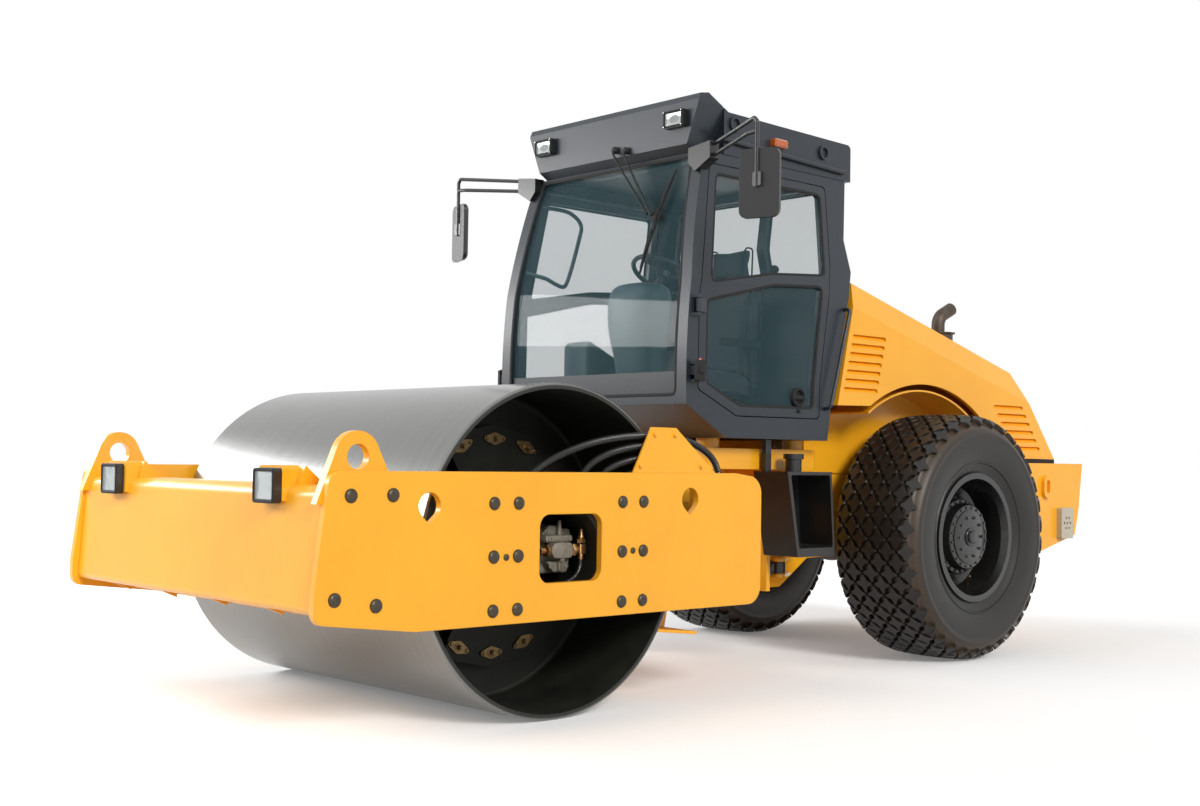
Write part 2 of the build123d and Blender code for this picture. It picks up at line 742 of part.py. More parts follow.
def build_rear_bumper():
    """The counterweight across the rear, with its tie-down plates and the lugs that carry the hood's hinge."""
    with BuildPart() as bumper:
        with BuildSketch(side_plane(bumper_half_width)):
            with BuildLine():
                Polyline(*shifted(axle_x, [
                    (bumper_front(bumper_top), bumper_top), (-rear_reach, bumper_top),
                    (25.0 - rear_reach, 1020.0), (115.0 - rear_reach, 720.0), (bumper_front(613.0), 613.0)]), close=True)
            make_face()
        extrude(amount=2 * bumper_half_width)
        corners = bumper.edges().filter_by(lambda e: abs((e % 0.5).Z) > 0.9).group_by(Axis.X)[0]
        fillet(corners, radius=30.0)
        with BuildSketch(Plane.XZ.offset(bumper_half_width)):
            with Locations((axle_x - 1045.0, 1045.0)):
                RectangleRounded(100.0, 150.0, 48.0)
                RectangleRounded(40.0, 88.0, 19.0, mode=Mode.SUBTRACT)
        extrude(amount=tie_plate_wall)
        mirror(about=Plane.XZ)
        for side in (-1, 1):
            for end in (-1, 1):
                middle = side * hood_hinge_y + end * (hinge_length / 2 + lug_gap + 8.0)
                with BuildSketch(side_plane(middle + 8.0)):
                    with Locations((hood_hinge_x, hood_hinge_z)):
                        Circle(24.0)
                    with Locations((hood_hinge_x, bumper_top - 5.0)):
                        Rectangle(70.0, 10.0)
                    make_hull()
                extrude(amount=16.0)
            with Locations((hood_hinge_x, side * hood_hinge_y, hood_hinge_z)):
                Cylinder(hinge_pin_radius, hinge_length + 2 * lug_gap + 16.0, rotation=(90, 0, 0))
    keep(bumper, "rear_bumper")


def build_alarm():
    """The reversing alarm, a flat box with a perforated face, on the counterweight's left side."""
    with BuildPart() as alarm:
        with BuildSketch(side_plane(bumper_half_width)):
            with Locations((axle_x - 1266.0, 802.0)):
                RectangleRounded(150.0, 205.0, 12.0)
        extrude(amount=-38.0)
        with BuildSketch(side_plane(bumper_half_width + 38.0)):
            with Locations((axle_x - 1266.0, 802.0)):
                Circle(9.0)
                with PolarLocations(38.0, 6):
                    Circle(9.0)
        extrude(amount=12.0, mode=Mode.SUBTRACT)
    keep(alarm, "reversing_alarm")


def build_axle():
    """The drive axle: its tube, the differential, and the final drives with the stubs that the rims turn on."""
    with BuildPart() as axle:
        with Locations((axle_x, 0, tyre_radius)):
            Cylinder(axle_tube_radius, 2 * final_drive_y, rotation=(90, 0, 0))
            Sphere(205.0)
        for side in (-1, 1):
            plane = Plane((axle_x, side * final_drive_y, tyre_radius), x_dir=(1, 0, 0), z_dir=(0, side, 0))
            drive = wheel_y - rim_disc_wall - lug_gap - final_drive_y
            with BuildSketch(plane):
                Circle(axle_hub_radius)
            extrude(amount=drive)
            with BuildSketch(plane.offset(drive)):
                Circle(axle_stub_radius)
            extrude(amount=lug_gap + rim_disc_wall)
    keep(axle, "axle_housing")


def build_engine():
    """The engine, one plain block on cross bars between the rails, under the hood."""
    between = 2 * (rail_y - rail_wall)
    with BuildPart() as engine:
        with Locations((axle_x - 250.0, 0, 1290.0)):
            Box(1000.0, 620.0, 560.0)
        for behind in (80.0, 560.0):
            with Locations((axle_x - behind, 0, 1130.0)):
                Box(70.0, between, 50.0)
    keep(engine, "engine_block")


def build_fenders():
    """The wheelhouses: a roof that follows the hood's arch, and the inner wall beside each rail."""
    rear, crest, front = shifted(axle_x, fender_arch)
    with BuildPart() as fenders:
        with BuildSketch(side_plane(fender_y)):
            with BuildLine():
                top = ThreePointArc(rear, crest, front)
                under = ThreePointArc((rear[0] + 8.0, rear[1] - fender_wall), (crest[0], crest[1] - fender_wall),
                                      (front[0] - 4.0, front[1] - fender_wall))
                Line(top @ 0, under @ 0)
                Line(top @ 1, under @ 1)
            make_face()
        extrude(amount=fender_y - rail_y)
        with BuildSketch(side_plane(rail_y + fender_wall)):
            with BuildLine():
                arch = ThreePointArc(rear, crest, front)
                Polyline(arch @ 1, *shifted(axle_x, [(640.0, 1590.0), (850.0, 1590.0), (850.0, 1500.0),
                                                     (deck_rear, 1500.0), (deck_rear, rail_top - 70.0),
                                                     (-640.0, rail_top - 70.0)]), arch @ 0)
            make_face()
        extrude(amount=fender_wall)
        mirror(about=Plane.XZ)
    keep(fenders, "fenders")


def build_steps():
    """The boxed steps below both doors, with the filler cap and the post on them."""
    inner = front_wall_half_width
    outline = shifted(axle_x, [(1058.0, 657.0), (1096.0, 1130.0), (1480.0, 1130.0), (1385.0, 657.0)])
    with BuildPart() as steps:
        with BuildSketch(side_plane(step_y)):
            with BuildLine():
                Polyline(*outline, close=True)
            make_face()
        extrude(amount=step_y - inner)
        with BuildSketch(side_plane(step_y + 10.0)) as opening:
            with BuildLine():
                Polyline(*shifted(axle_x, [(1078.0, 705.0), (1112.0, 1112.0), (1450.0, 1112.0),
                                           (1372.0, 705.0)]), close=True)
            make_face()
            fillet(opening.vertices(), radius=12.0)
        extrude(amount=step_y + 10.0 - inner - step_wall, mode=Mode.SUBTRACT)
        with BuildSketch(side_plane(step_y)):
            with Locations((axle_x + 1285.0, 815.0)):
                RectangleRounded(130.0, 190.0, 30.0)
        extrude(amount=step_y - inner + 10.0, mode=Mode.SUBTRACT)
        with BuildSketch(side_plane(step_y - 40.0)):
            Polygon(*shifted(axle_x, [(1066.0, 665.0), (1387.0, 665.0), (1391.0, 685.0), (1068.0, 685.0)]), align=None)
        extrude(amount=step_y - 40.0 - inner)
        with Locations((axle_x + 1290.0, inner + 130.0, 1130.0 + 35.0)):
            Cylinder(46.0, 70.0)
        with Locations((axle_x + 1290.0, inner + 130.0, 1130.0 + 85.0)):
            Cylinder(58.0, 30.0)
        with Locations((axle_x + 1440.0, inner + 60.0, 1130.0 + 88.0)):
            Box(45.0, 30.0, 176.0)
        mirror(about=Plane.XZ)
    keep(steps, "steps")


# Cab


def cab_side(inset):
    """The cab's side outline, drawn in by inset."""
    with BuildSketch(Plane.XZ) as side:
        with BuildLine():
            windscreen = ThreePointArc(*shifted(axle_x, [(2180.0, 1480.0), (2150.0, 2180.0), (2000.0, cab_roof_z)]))
            Polyline(windscreen @ 1, *shifted(axle_x, [(795.0, cab_roof_z), (844.0, 2490.0), (796.0, 2305.0),
                                                       (993.0, 1472.0), (1014.0, cab_floor_z),
                                                       (1876.0, cab_floor_z)]), windscreen @ 0)
        make_face()
        if inset:
            offset(amount=-inset, kind=Kind.INTERSECTION, mode=Mode.REPLACE)
    return side.sketch


def cab_front(inset):
    """The cab's front outline in the current sketch, drawn in by inset."""
    half, top = cab_half_width - inset, cab_roof_half_width - inset
    low, high = cab_floor_z - 10.0, cab_roof_z + 10.0
    Polygon((-half, low), (half, low), (half, cab_belt), (top, high), (-top, high), (-half, cab_belt), align=None)


def cab_form(inset):
    """The cab's closed form below the roof, drawn in by inset on every side."""
    with BuildPart() as form:
        extrude(cab_side(inset), amount=cab_half_width, both=True)
        with BuildSketch(Plane.YZ.offset(axle_x)):
            cab_front(inset)
        extrude(amount=2500.0, mode=Mode.INTERSECT)
    return form.part


door_outline = [(2100.0, 1560.0), (2095.0, 2060.0), (1965.0, 2790.0), (985.0, 2790.0), (985.0, 2320.0),
                (1085.0, 1640.0), (1090.0, 1429.0), (1793.0, 1425.0)]
upper_pane = [(2005.0, 2135.0), (1915.0, 2735.0), (1035.0, 2735.0), (1040.0, 2260.0), (1500.0, 2225.0)]
lower_pane = [(2035.0, 1600.0), (2030.0, 2040.0), (1500.0, 2165.0), (1070.0, 2195.0), (1140.0, 1640.0),
              (1145.0, 1490.0), (1770.0, 1485.0)]


def outline_prism(points, inset, y_from, y_to, corner=30.0):
    """A prism across the side from y_from to y_to, over an outline ahead of the axle."""
    with BuildPart() as prism:
        with BuildSketch(side_plane(y_to)) as face:
            with BuildLine():
                Polyline(*shifted(axle_x, points), close=True)
            make_face()
            if inset:
                offset(amount=-inset, kind=Kind.INTERSECTION, mode=Mode.REPLACE)
            fillet(face.vertices(), radius=corner)
        extrude(amount=y_to - y_from)
    return prism.part


def windscreen_cut():
    """The opening of the windscreen."""
    with BuildPart() as cut:
        with BuildSketch(Plane.YZ.offset(axle_x + 1850.0)) as face:
            Polygon((-690.0, 1530.0), (690.0, 1530.0), (690.0, 2150.0), (620.0, 2830.0), (-620.0, 2830.0),
                    (-690.0, 2150.0), align=None)
            fillet(face.vertices(), radius=30.0)
        extrude(amount=500.0)
    return cut.part


def rear_cut(y_from, y_to):
    """One opening of the rear window."""
    with BuildPart() as cut:
        with BuildSketch(Plane.YZ.offset(axle_x + 700.0)) as face:
            with Locations(((y_from + y_to) / 2, 2550.0)):
                RectangleRounded(y_to - y_from, 500.0, 30.0)
        extrude(amount=250.0)
    return cut.part


rear_panes = ((-620.0, 95.0), (155.0, 620.0))


def build_cab_body():
    """The cab's shell with its pillars, door openings, window openings and door hinge posts."""
    with BuildPart() as body:
        add(cab_form(0))
        add(cab_form(cab_wall), mode=Mode.SUBTRACT)
        for side in (-1, 1):
            ends = (500.0, 900.0) if side > 0 else (-900.0, -500.0)
            add(outline_prism(door_outline, 0, *ends), mode=Mode.SUBTRACT)
        add(windscreen_cut(), mode=Mode.SUBTRACT)
        for y_from, y_to in rear_panes:
            add(rear_cut(y_from, y_to), mode=Mode.SUBTRACT)
        with BuildSketch(Plane.XY.offset(cab_roof_z - cab_wall - 1.0)):
            with Locations((axle_x + 1400.0, 0)):
                Rectangle(1000.0, 1200.0)
        extrude(amount=cab_wall + 2.0, mode=Mode.SUBTRACT)
        for side in (-1, 1):
            for z in door_hinge_levels:
                for end in (-1, 1):
                    middle = z + end * (hinge_length / 2 + lug_gap + 8.0)
                    with BuildSketch(Plane.XY.offset(middle - 8.0)):
                        with Locations((axle_x + door_hinge_ahead, side * door_hinge_y)):
                            Circle(16.0)
                        with Locations((axle_x + door_hinge_ahead + 25.0, side * (cab_half_width - 25.0))):
                            Rectangle(30.0, 20.0)
                        make_hull()
                    extrude(amount=16.0)
                with Locations((axle_x + door_hinge_ahead, side * door_hinge_y, z)):
                    Cylinder(hinge_pin_radius, hinge_length + 2 * lug_gap + 16.0)
    keep(body, "cab_body")


def glass_skin():
    """The thin skin in the middle of the cab's walls that its panes are cut from."""
    with BuildPart() as skin:
        add(cab_form(16.0))
        add(cab_form(16.0 + glass_wall), mode=Mode.SUBTRACT)
    return skin.part


def build_cab_glass(skin):
    """The windscreen and the two rear panes."""
    cuts = [windscreen_cut()] + [rear_cut(*ends) for ends in rear_panes]
    with BuildPart() as glass:
        for cut in cuts:
            with BuildPart(mode=Mode.PRIVATE) as pane:
                add(skin)
                add(cut, mode=Mode.INTERSECT)
            add(pane.part)
    keep(glass, "cab_glass")


def build_doors(skin):
    """Each door's frame with its two window openings, round latch and hinge knuckles, and its panes."""
    ends = (500.0, 900.0)
    with BuildPart() as frame:
        add(cab_form(0))
        add(cab_form(cab_wall), mode=Mode.SUBTRACT)
        add(outline_prism(door_outline, door_gap, *ends), mode=Mode.INTERSECT)
        add(outline_prism(upper_pane, 0, *ends, corner=25.0), mode=Mode.SUBTRACT)
        add(outline_prism(lower_pane, 0, *ends, corner=25.0), mode=Mode.SUBTRACT)
        for z in door_hinge_levels:
            with BuildSketch(Plane.XY.offset(z - hinge_length / 2)):
                with Locations((axle_x + door_hinge_ahead, door_hinge_y)):
                    Circle(16.0)
                with Locations((axle_x + door_hinge_ahead - 60.0, cab_half_width + 5.0)):
                    Rectangle(30.0, 8.0)
                make_hull()
                with Locations((axle_x + door_hinge_ahead - 60.0, cab_half_width)):
                    Rectangle(30.0, 10.0)
            extrude(amount=hinge_length)
            with Locations((axle_x + door_hinge_ahead, door_hinge_y, z)):
                Cylinder(hinge_pin_radius + running_gap, hinge_length, mode=Mode.SUBTRACT)
    with BuildPart() as glass:
        for outline in (upper_pane, lower_pane):
            with BuildPart(mode=Mode.PRIVATE) as pane:
                add(skin)
                add(outline_prism(outline, 0, *ends, corner=25.0), mode=Mode.INTERSECT)
            add(pane.part)
    keep_pair(frame, "door_frame")
    keep_pair(glass, "door_glass")


def roof_form():
    """The roof's closed form, with the visor box over the windscreen tapering down to its foot."""
    half = cab_roof_half_width + 5.0
    low, high = cab_roof_z - 1.0, 3200.0
    with BuildPart() as envelope:
        with BuildSketch(Plane.YZ.offset(axle_x)):
            with Locations((0, (low + high) / 2)):
                Rectangle(2 * half, high - low)
        extrude(amount=visor_ahead)
        with BuildSketch(Plane.YZ.offset(axle_x + visor_ahead)):
            Polygon((-600.0, low), (600.0, low), (half, 3110.0), (half, high), (-half, high), (-half, 3110.0),
                    align=None)
        extrude(amount=400.0)
    with BuildPart() as roof:
        with BuildSketch(side_plane(half)) as side:
            with BuildLine():
                Polyline(*shifted(axle_x, [
                    (747.0, cab_roof_z), (747.0, 3068.0), (1815.0, 3085.0), (1974.0, 3165.0), (2035.0, 3154.0),
                    (2050.0, 3122.0), (2046.0, 2890.0), (2000.0, cab_roof_z)]), close=True)
            make_face()
            fillet(side.vertices().group_by(Axis.X)[0].sort_by(Axis.Y)[-1], radius=30.0)
        extrude(amount=2 * half)
        add(envelope.part, mode=Mode.INTERSECT)
    return roof.part


def build_roof():
    """The roof with the raised visor box over the windscreen."""
    with BuildPart() as roof:
        add(roof_form())
    keep(roof, "cab_roof")


def tube_along(points, radius, bend):
    """A round tube along a route with rounded bends."""
    with BuildPart() as tube:
        with BuildLine():
            route = FilletPolyline(*points, radius=bend)
        with BuildSketch(Plane(origin=route @ 0, z_dir=route % 0)):
            Circle(radius)
        sweep(path=route)
    return tube.part


def build_cab_rails():
    """The lifting rings, the rail along each side of the roof, and the upright grab rail behind each door."""
    y = cab_roof_half_width + 5.0
    grab = cab_half_width + 45.0
    with BuildPart() as rails:
        with BuildLine():
            run = Line((axle_x + 1895.0, y + 14.0, 2931.0), (axle_x + 823.0, y + 14.0, 2895.0))
        with BuildSketch(Plane(origin=run @ 0, z_dir=run % 0)):
            Circle(14.0)
        sweep(path=run)
        for ahead, z in ((1767.0, 3026.0), (1004.0, 2987.0)):
            with BuildSketch(side_plane(y + 14.0)):
                with Locations((axle_x + ahead, z)):
                    Circle(42.0)
                    Circle(29.0, mode=Mode.SUBTRACT)
            extrude(amount=14.0)
        add(tube_along([(axle_x + 875.0, cab_half_width, 2077.0), (axle_x + 875.0, grab, 2077.0),
                        (axle_x + 1045.0, grab, 1493.0), (axle_x + 1045.0, cab_half_width, 1493.0)], 11.0, 25.0))
        mirror(about=Plane.XZ)
    keep(rails, "cab_rails")


def build_mirrors():
    """The two mirrors: each head hangs from a bent double tube on a bracket at the visor's corner."""
    x = axle_x + mirror_ahead
    root = axle_x + mirror_bracket_ahead
    outward = Vector(cos(radians(mirror_turn)), sin(radians(mirror_turn)), 0)
    facing = Plane((x, mirror_y + 12.0, mirror_z), x_dir=(-outward.Y, outward.X, 0), z_dir=outward)
    with BuildPart() as head:
        with BuildSketch(facing.offset(-8.0)):
            RectangleRounded(mirror_width, mirror_height, 42.0)
        extrude(amount=-34.0)
        chamfer(head.faces().sort_by(Axis(facing.origin, outward))[0].edges(), length=12.0)
    with BuildPart() as mirrors:
        with BuildSketch(Plane.YZ.offset(root)):
            with BuildLine():
                Polyline((640.0, 2860.0), (640.0, 2780.0), (690.0, 2730.0), (800.0, 2790.0), (800.0, 2880.0), close=True)
            make_face()
        extrude(amount=-70.0)
        add(tube_along([(root - 40.0, 790.0, 2866.0), (x, mirror_y - 20.0, 2912.0), (x, mirror_y, 2890.0),
                        (x, mirror_y, 2560.0)], 11.0, 16.0))
        add(tube_along([(root - 40.0, 790.0, 2806.0), (x, mirror_y - 70.0, 2838.0), (x, mirror_y - 3.0, 2843.0)],
                       11.0, 30.0))
        add(head.part)
        with Locations((x - 8.0, mirror_y, mirror_z + 20.0)):
            Box(24.0, 60.0, 70.0)
        add(cab_form(0), mode=Mode.SUBTRACT)
        add(roof_form(), mode=Mode.SUBTRACT)
        mirror(about=Plane.XZ)
    keep(mirrors, "mirrors")


def build_roof_lamps():
    """The two rectangular work lamps on the visor's face."""
    with BuildPart() as lamps:
        for side in (-1, 1):
            with BuildSketch(Plane.YZ.offset(axle_x + 2040.0)):
                with Locations((side * 544.0, 3030.0)):
                    RectangleRounded(150.0, 96.0, 10.0)
            extrude(amount=44.0)
            with BuildSketch(Plane.YZ.offset(axle_x + 2084.0)):
                with Locations((side * 544.0, 3030.0)):
                    RectangleRounded(128.0, 74.0, 6.0)
            extrude(amount=-10.0, mode=Mode.SUBTRACT)
        add(roof_form(), mode=Mode.SUBTRACT)
    keep(lamps, "work_lamps")


def build_marker_lamps():
    """The amber lamps on the roof's sides."""
    y = cab_roof_half_width + 5.0
    with BuildPart() as lamps:
        with BuildSketch(side_plane(y)):
            with Locations((axle_x + 1416.0, 2972.0)):
                RectangleRounded(112.0, 46.0, 10.0)
        extrude(amount=-44.0)
        chamfer(lamps.faces().sort_by(Axis.Y)[-1].edges(), length=8.0)
        mirror(about=Plane.XZ)
    keep(lamps, "marker_lamps")


def build_wipers():
    """The wiper's parallel arms from the visor's foot, and its blade in front of the windscreen."""
    head = (axle_x + 2050.0, wiper_y, 2905.0)
    foot = (axle_x + 2132.0, wiper_y - 190.0, 2420.0)
    with BuildPart() as wipers:
        for shift in (0.0, 45.0):
            add(tube_along([(head[0], head[1] - shift, head[2]), (head[0] + 34.0, head[1] - shift, head[2] - 24.0),
                            (foot[0], foot[1] - shift, foot[2])], 5.0, 10.0))
        with Locations(Plane((foot[0], foot[1] - 22.0, foot[2]), x_dir=(0, 1, 0), z_dir=(1, 0, 0.16))):
            Box(80.0, 22.0, 14.0)
        with Locations(Plane((axle_x + 2128.0, foot[1] - 22.0, 2400.0), x_dir=(0, 1, 0), z_dir=(1, 0, 0.14))):
            Box(14.0, 620.0, 12.0)
        add(roof_form(), mode=Mode.SUBTRACT)
    keep(wipers, "wipers")


def build_seat():
    """The driver's seat: cushion, back, headrest and armrests on its suspension and pedestal."""
    floor = cab_floor_z + cab_wall
    with BuildPart() as seat:
        with Locations((axle_x + 1270.0, 0, floor + 110.0)):
            Box(400.0, 400.0, 220.0)
        with BuildSketch(side_plane(seat_half_width)) as cushion:
            with BuildLine():
                Polyline(*shifted(axle_x, [(1060.0, floor + 220.0), (1540.0, floor + 240.0), (1550.0, floor + 340.0),
                                           (1500.0, floor + 375.0), (1060.0, floor + 350.0)]), close=True)
            make_face()
            fillet(cushion.vertices().sort_by(Axis.X)[-3:], radius=30.0)
        extrude(amount=2 * seat_half_width)
        with BuildSketch(side_plane(seat_half_width - 10.0)) as back:
            with BuildLine():
                Polyline(*shifted(axle_x, [(1065.0, floor + 300.0), (1165.0, floor + 345.0), (1085.0, floor + 880.0),
                                           (1000.0, floor + 890.0), (975.0, floor + 860.0), (1005.0, floor + 300.0)]),
                         close=True)
            make_face()
            fillet(back.vertices().sort_by(Axis.Y)[-3:], radius=24.0)
        extrude(amount=2 * seat_half_width - 20.0)
        with BuildSketch(side_plane(25.0)):
            Polygon(*shifted(axle_x, [(1030.0, floor + 860.0), (1050.0, floor + 860.0), (1035.0, floor + 960.0),
                                      (1015.0, floor + 960.0)]), align=None)
        extrude(amount=50.0)
        with BuildSketch(side_plane(150.0)) as rest:
            with BuildLine():
                Polyline(*shifted(axle_x, [(985.0, floor + 930.0), (1065.0, floor + 925.0), (1050.0, floor + 1130.0),
                                           (975.0, floor + 1135.0)]), close=True)
            make_face()
            fillet(rest.vertices(), radius=22.0)
        extrude(amount=300.0)
        for side in (-1, 1):
            with Locations((axle_x + 1225.0, side * (seat_half_width + 28.0), floor + 530.0)):
                Box(330.0, 56.0, 50.0)
    keep(seat, "seat")


def steering_plane():
    """The plane of the steering wheel, facing the driver."""
    return Plane((axle_x + wheel_ahead, 0, wheel_z), z_dir=(-0.5, 0, 0.86))


def build_consoles():
    """The moulded steering column with its dash, and the side console beside the seat."""
    floor = cab_floor_z + cab_wall
    with BuildPart() as consoles:
        with BuildSketch(Plane.XY.offset(floor)):
            with Locations((axle_x + 1745.0, 0)):
                RectangleRounded(190.0, 300.0, 60.0)
        with BuildSketch(Plane.XY.offset(floor + 560.0)):
            with Locations((axle_x + 1800.0, 0)):
                RectangleRounded(230.0, 360.0, 80.0)
        with BuildSketch(Plane.XY.offset(floor + 850.0)):
            with Locations((axle_x + 1785.0, 0)):
                RectangleRounded(290.0, 400.0, 110.0)
        loft()
        with BuildSketch(steering_plane().offset(-20.0)):
            Circle(22.0)
        extrude(amount=-110.0)
        with BuildSketch(side_plane(-390.0)) as box:
            with BuildLine():
                Polyline(*shifted(axle_x, [(1150.0, floor), (1150.0, floor + 430.0), (1620.0, floor + 450.0),
                                           (1820.0, floor + 540.0), (1850.0, floor + 500.0), (1850.0, floor)]),
                         close=True)
            make_face()
            fillet(box.vertices().sort_by(Axis.Y)[-3:], radius=35.0)
        extrude(amount=200.0)
    keep(consoles, "consoles")


def build_steering_wheel():
    """The steering wheel with its three spokes, on the column's top."""
    with BuildPart() as wheel:
        with Locations(steering_plane()):
            Torus(190.0, 14.0)
            Cylinder(42.0, 40.0)
            for turn in (0.0, 120.0, 240.0):
                with Locations(Location((0, 0, 0), (0, 0, turn))):
                    with Locations((105.0, 0, 0)):
                        Box(180.0, 28.0, 10.0)
    keep(wheel, "steering_wheel")


# Hood


hood_slope = degrees(atan2(2245.0 - 1800.0, 770.0 + 948.0))


def hood_side(inset):
    """The hood's side outline, drawn in by inset, with its foot below the wheel arch."""
    with BuildSketch(Plane.XZ) as side:
        with BuildLine():
            arch = ThreePointArc(*shifted(axle_x, [(626.0, 1524.0), (-20.0, 1672.0), (-617.0, 1427.0)]))
            Polyline(arch @ 1, *shifted(axle_x, [(-760.0, 1230.0), (-1440.0, 1230.0), (-948.0, 1800.0),
                                                 (768.0, 2245.0), (935.0, 1517.0)]), arch @ 0)
        make_face()
        if inset:
            offset(amount=-inset, kind=Kind.INTERSECTION, mode=Mode.REPLACE)
    return side.sketch


def hood_form(inset):
    """The hood's closed form, drawn in by inset: side outline by sloped crown section."""
    half = hood_half_width - inset
    crown = hood_crown_half_width - inset
    ridge = Plane((axle_x + 768.0, 0, 2245.0 - inset), x_dir=(0, -1, 0),
                  z_dir=(-cos(radians(hood_slope)), 0, -sin(radians(hood_slope))))
    with BuildPart() as form:
        extrude(hood_side(inset), amount=hood_half_width, both=True)
        with BuildSketch(ridge.offset(-400.0)):
            Polygon((-crown, 0), (crown, 0), (half, -hood_crown_drop), (half, -1400.0), (-half, -1400.0),
                    (-half, -hood_crown_drop), align=None)
        extrude(amount=3200.0, mode=Mode.INTERSECT)
    return form.part


def build_hood():
    """The one-piece hood, open below, with its wheel arches, side louvres and hinge knuckles."""
    with BuildPart() as hood:
        add(hood_form(0))
        void = hood_form(hood_wall)
        add(void, mode=Mode.SUBTRACT)
        add(Pos(0, 0, -3 * hood_wall) * void, mode=Mode.SUBTRACT)
        for count, top, foot, length in louvre_fields:
            with BuildSketch(Plane.XZ) as slots:
                for row in range(count):
                    share = row / (count - 1)
                    rise = (top[1] - foot[1]) * (1 - share) + foot[1]
                    start = axle_x + top[0] + (foot[0] - top[0]) * share
                    with Locations((start - length / 2, rise)):
                        RectangleRounded(length, slot_height, slot_height / 2 - 1.0)
            extrude(amount=hood_half_width + 20.0, both=True, mode=Mode.SUBTRACT)
        for side in (-1, 1):
            middle = side * hood_hinge_y
            with BuildSketch(side_plane(middle + hinge_length / 2)):
                with Locations((hood_hinge_x, hood_hinge_z)):
                    Circle(18.0)
                with Locations((hood_hinge_x + 50.0, hood_hinge_z + 25.0)):
                    Circle(8.0)
                make_hull()
            extrude(amount=hinge_length)
            with Locations((hood_hinge_x, middle, hood_hinge_z)):
                Cylinder(hinge_pin_radius + running_gap, hinge_length, rotation=(90, 0, 0), mode=Mode.SUBTRACT)
    keep(hood, "hood_shell")


def build_exhaust():
    """The bent exhaust pipe on its flanged stub, standing on the hood."""
    x, y = axle_x - 832.0, 240.0
    with BuildPart() as exhaust:
        with BuildSketch(Plane.XY.offset(1700.0)):
            with Locations((x, y)):
                Circle(100.0)
        extrude(amount=stub_top - 1700.0)
        with BuildSketch(Plane.XY.offset(stub_top - 8.0)):
            with Locations((x, y)):
                Circle(116.0)
        extrude(amount=8.0)
        with BuildLine():
            pipe = FilletPolyline((x, y, stub_top), (x, y, stub_top + 105.0), (x - 150.0, y, stub_top + 175.0),
                                  radius=90.0)
        with BuildSketch(Plane(origin=pipe @ 0, z_dir=pipe % 0)):
            Circle(45.0)
        sweep(path=pipe)
        with BuildSketch(Plane(origin=pipe @ 1, z_dir=pipe % 1)):
            Circle(41.0)
        extrude(amount=-60.0, mode=Mode.SUBTRACT)
        add(hood_form(0), mode=Mode.SUBTRACT)
    keep(exhaust, "exhaust")


# Wheels


def build_wheels():
    """The drive tyres out to the tips of their blocks, and the rims with the planetary covers."""
    half = tyre_width / 2
    plane = Plane((axle_x, wheel_y, tyre_radius), x_dir=(0, 1, 0), z_dir=(1, 0, 0))
    spin = Axis((axle_x, wheel_y, tyre_radius), (0, 1, 0))
    with BuildPart() as tyre:
        with BuildSketch(plane):
            with BuildLine():
                Polyline(*tyre_outline, *[(-y, r) for y, r in reversed(tyre_outline)], close=True)
            make_face()
        revolve(axis=spin)
    with BuildPart() as rim:
        with BuildSketch(plane):
            with BuildLine():
                Polyline((60.0 - half, bead_radius), (half - 60.0, bead_radius), (half - 60.0, bead_radius + 18.0),
                         (half - 46.0, bead_radius + 18.0), (half - 46.0, bead_radius - 18.0),
                         (half - 90.0, bead_radius - 34.0), (70.0, bead_radius - 62.0),
                         (rim_disc_wall, 250.0), (rim_disc_wall, 0), (-rim_disc_wall, 0),
                         (-rim_disc_wall, bead_radius - 60.0), (-60.0, bead_radius - 60.0),
                         (46.0 - half, bead_radius - 30.0), (46.0 - half, bead_radius + 18.0),
                         (60.0 - half, bead_radius + 18.0), close=True)
            make_face()
        revolve(axis=spin)
        cover = Plane((axle_x, wheel_y + rim_disc_wall, tyre_radius), x_dir=(1, 0, 0), z_dir=(0, 1, 0))
        with BuildSketch(cover):
            Circle(205.0)
        extrude(amount=cover_length, taper=6.0)
        with BuildSketch(cover.offset(cover_length)):
            Circle(58.0)
        extrude(amount=12.0, taper=10.0)
        with BuildSketch(cover):
            with PolarLocations(250.0, 12):
                RegularPolygon(16.0, 6)
        extrude(amount=22.0)
        with BuildSketch(Plane(cover.origin - Vector(0, 2 * rim_disc_wall, 0), x_dir=(1, 0, 0), z_dir=(0, 1, 0))):
            Circle(axle_stub_radius + running_gap)
        extrude(amount=rim_disc_wall + 0.5, mode=Mode.SUBTRACT)
    keep_pair(tyre, "tyre")
    keep_pair(rim, "rim")


build_drum_shell()
build_exciter()
build_isolators()
build_drum_plates()
build_side_plates()
build_front_crossbeam()
build_headlights()
build_rear_crossbeam()
build_scrapers()
build_drum_carriers()
build_drum_motors()
build_hoses()
build_hose_guard()
build_pivot_block()
build_steer_cylinders()
build_chassis()
build_rear_bumper()
build_alarm()
build_axle()
build_engine()
build_fenders()
build_steps()
build_cab_body()
pane_skin = glass_skin()
build_cab_glass(pane_skin)
build_doors(pane_skin)
build_roof()
build_cab_rails()
build_mirrors()
build_roof_lamps()
build_marker_lamps()
build_wipers()
build_seat()
build_consoles()
build_steering_wheel()
build_hood()
build_exhaust()
build_wheels()
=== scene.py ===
"""The looks of the single-drum road roller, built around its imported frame."""

import math

import bpy
import numpy as np
from mathutils import Matrix, Vector


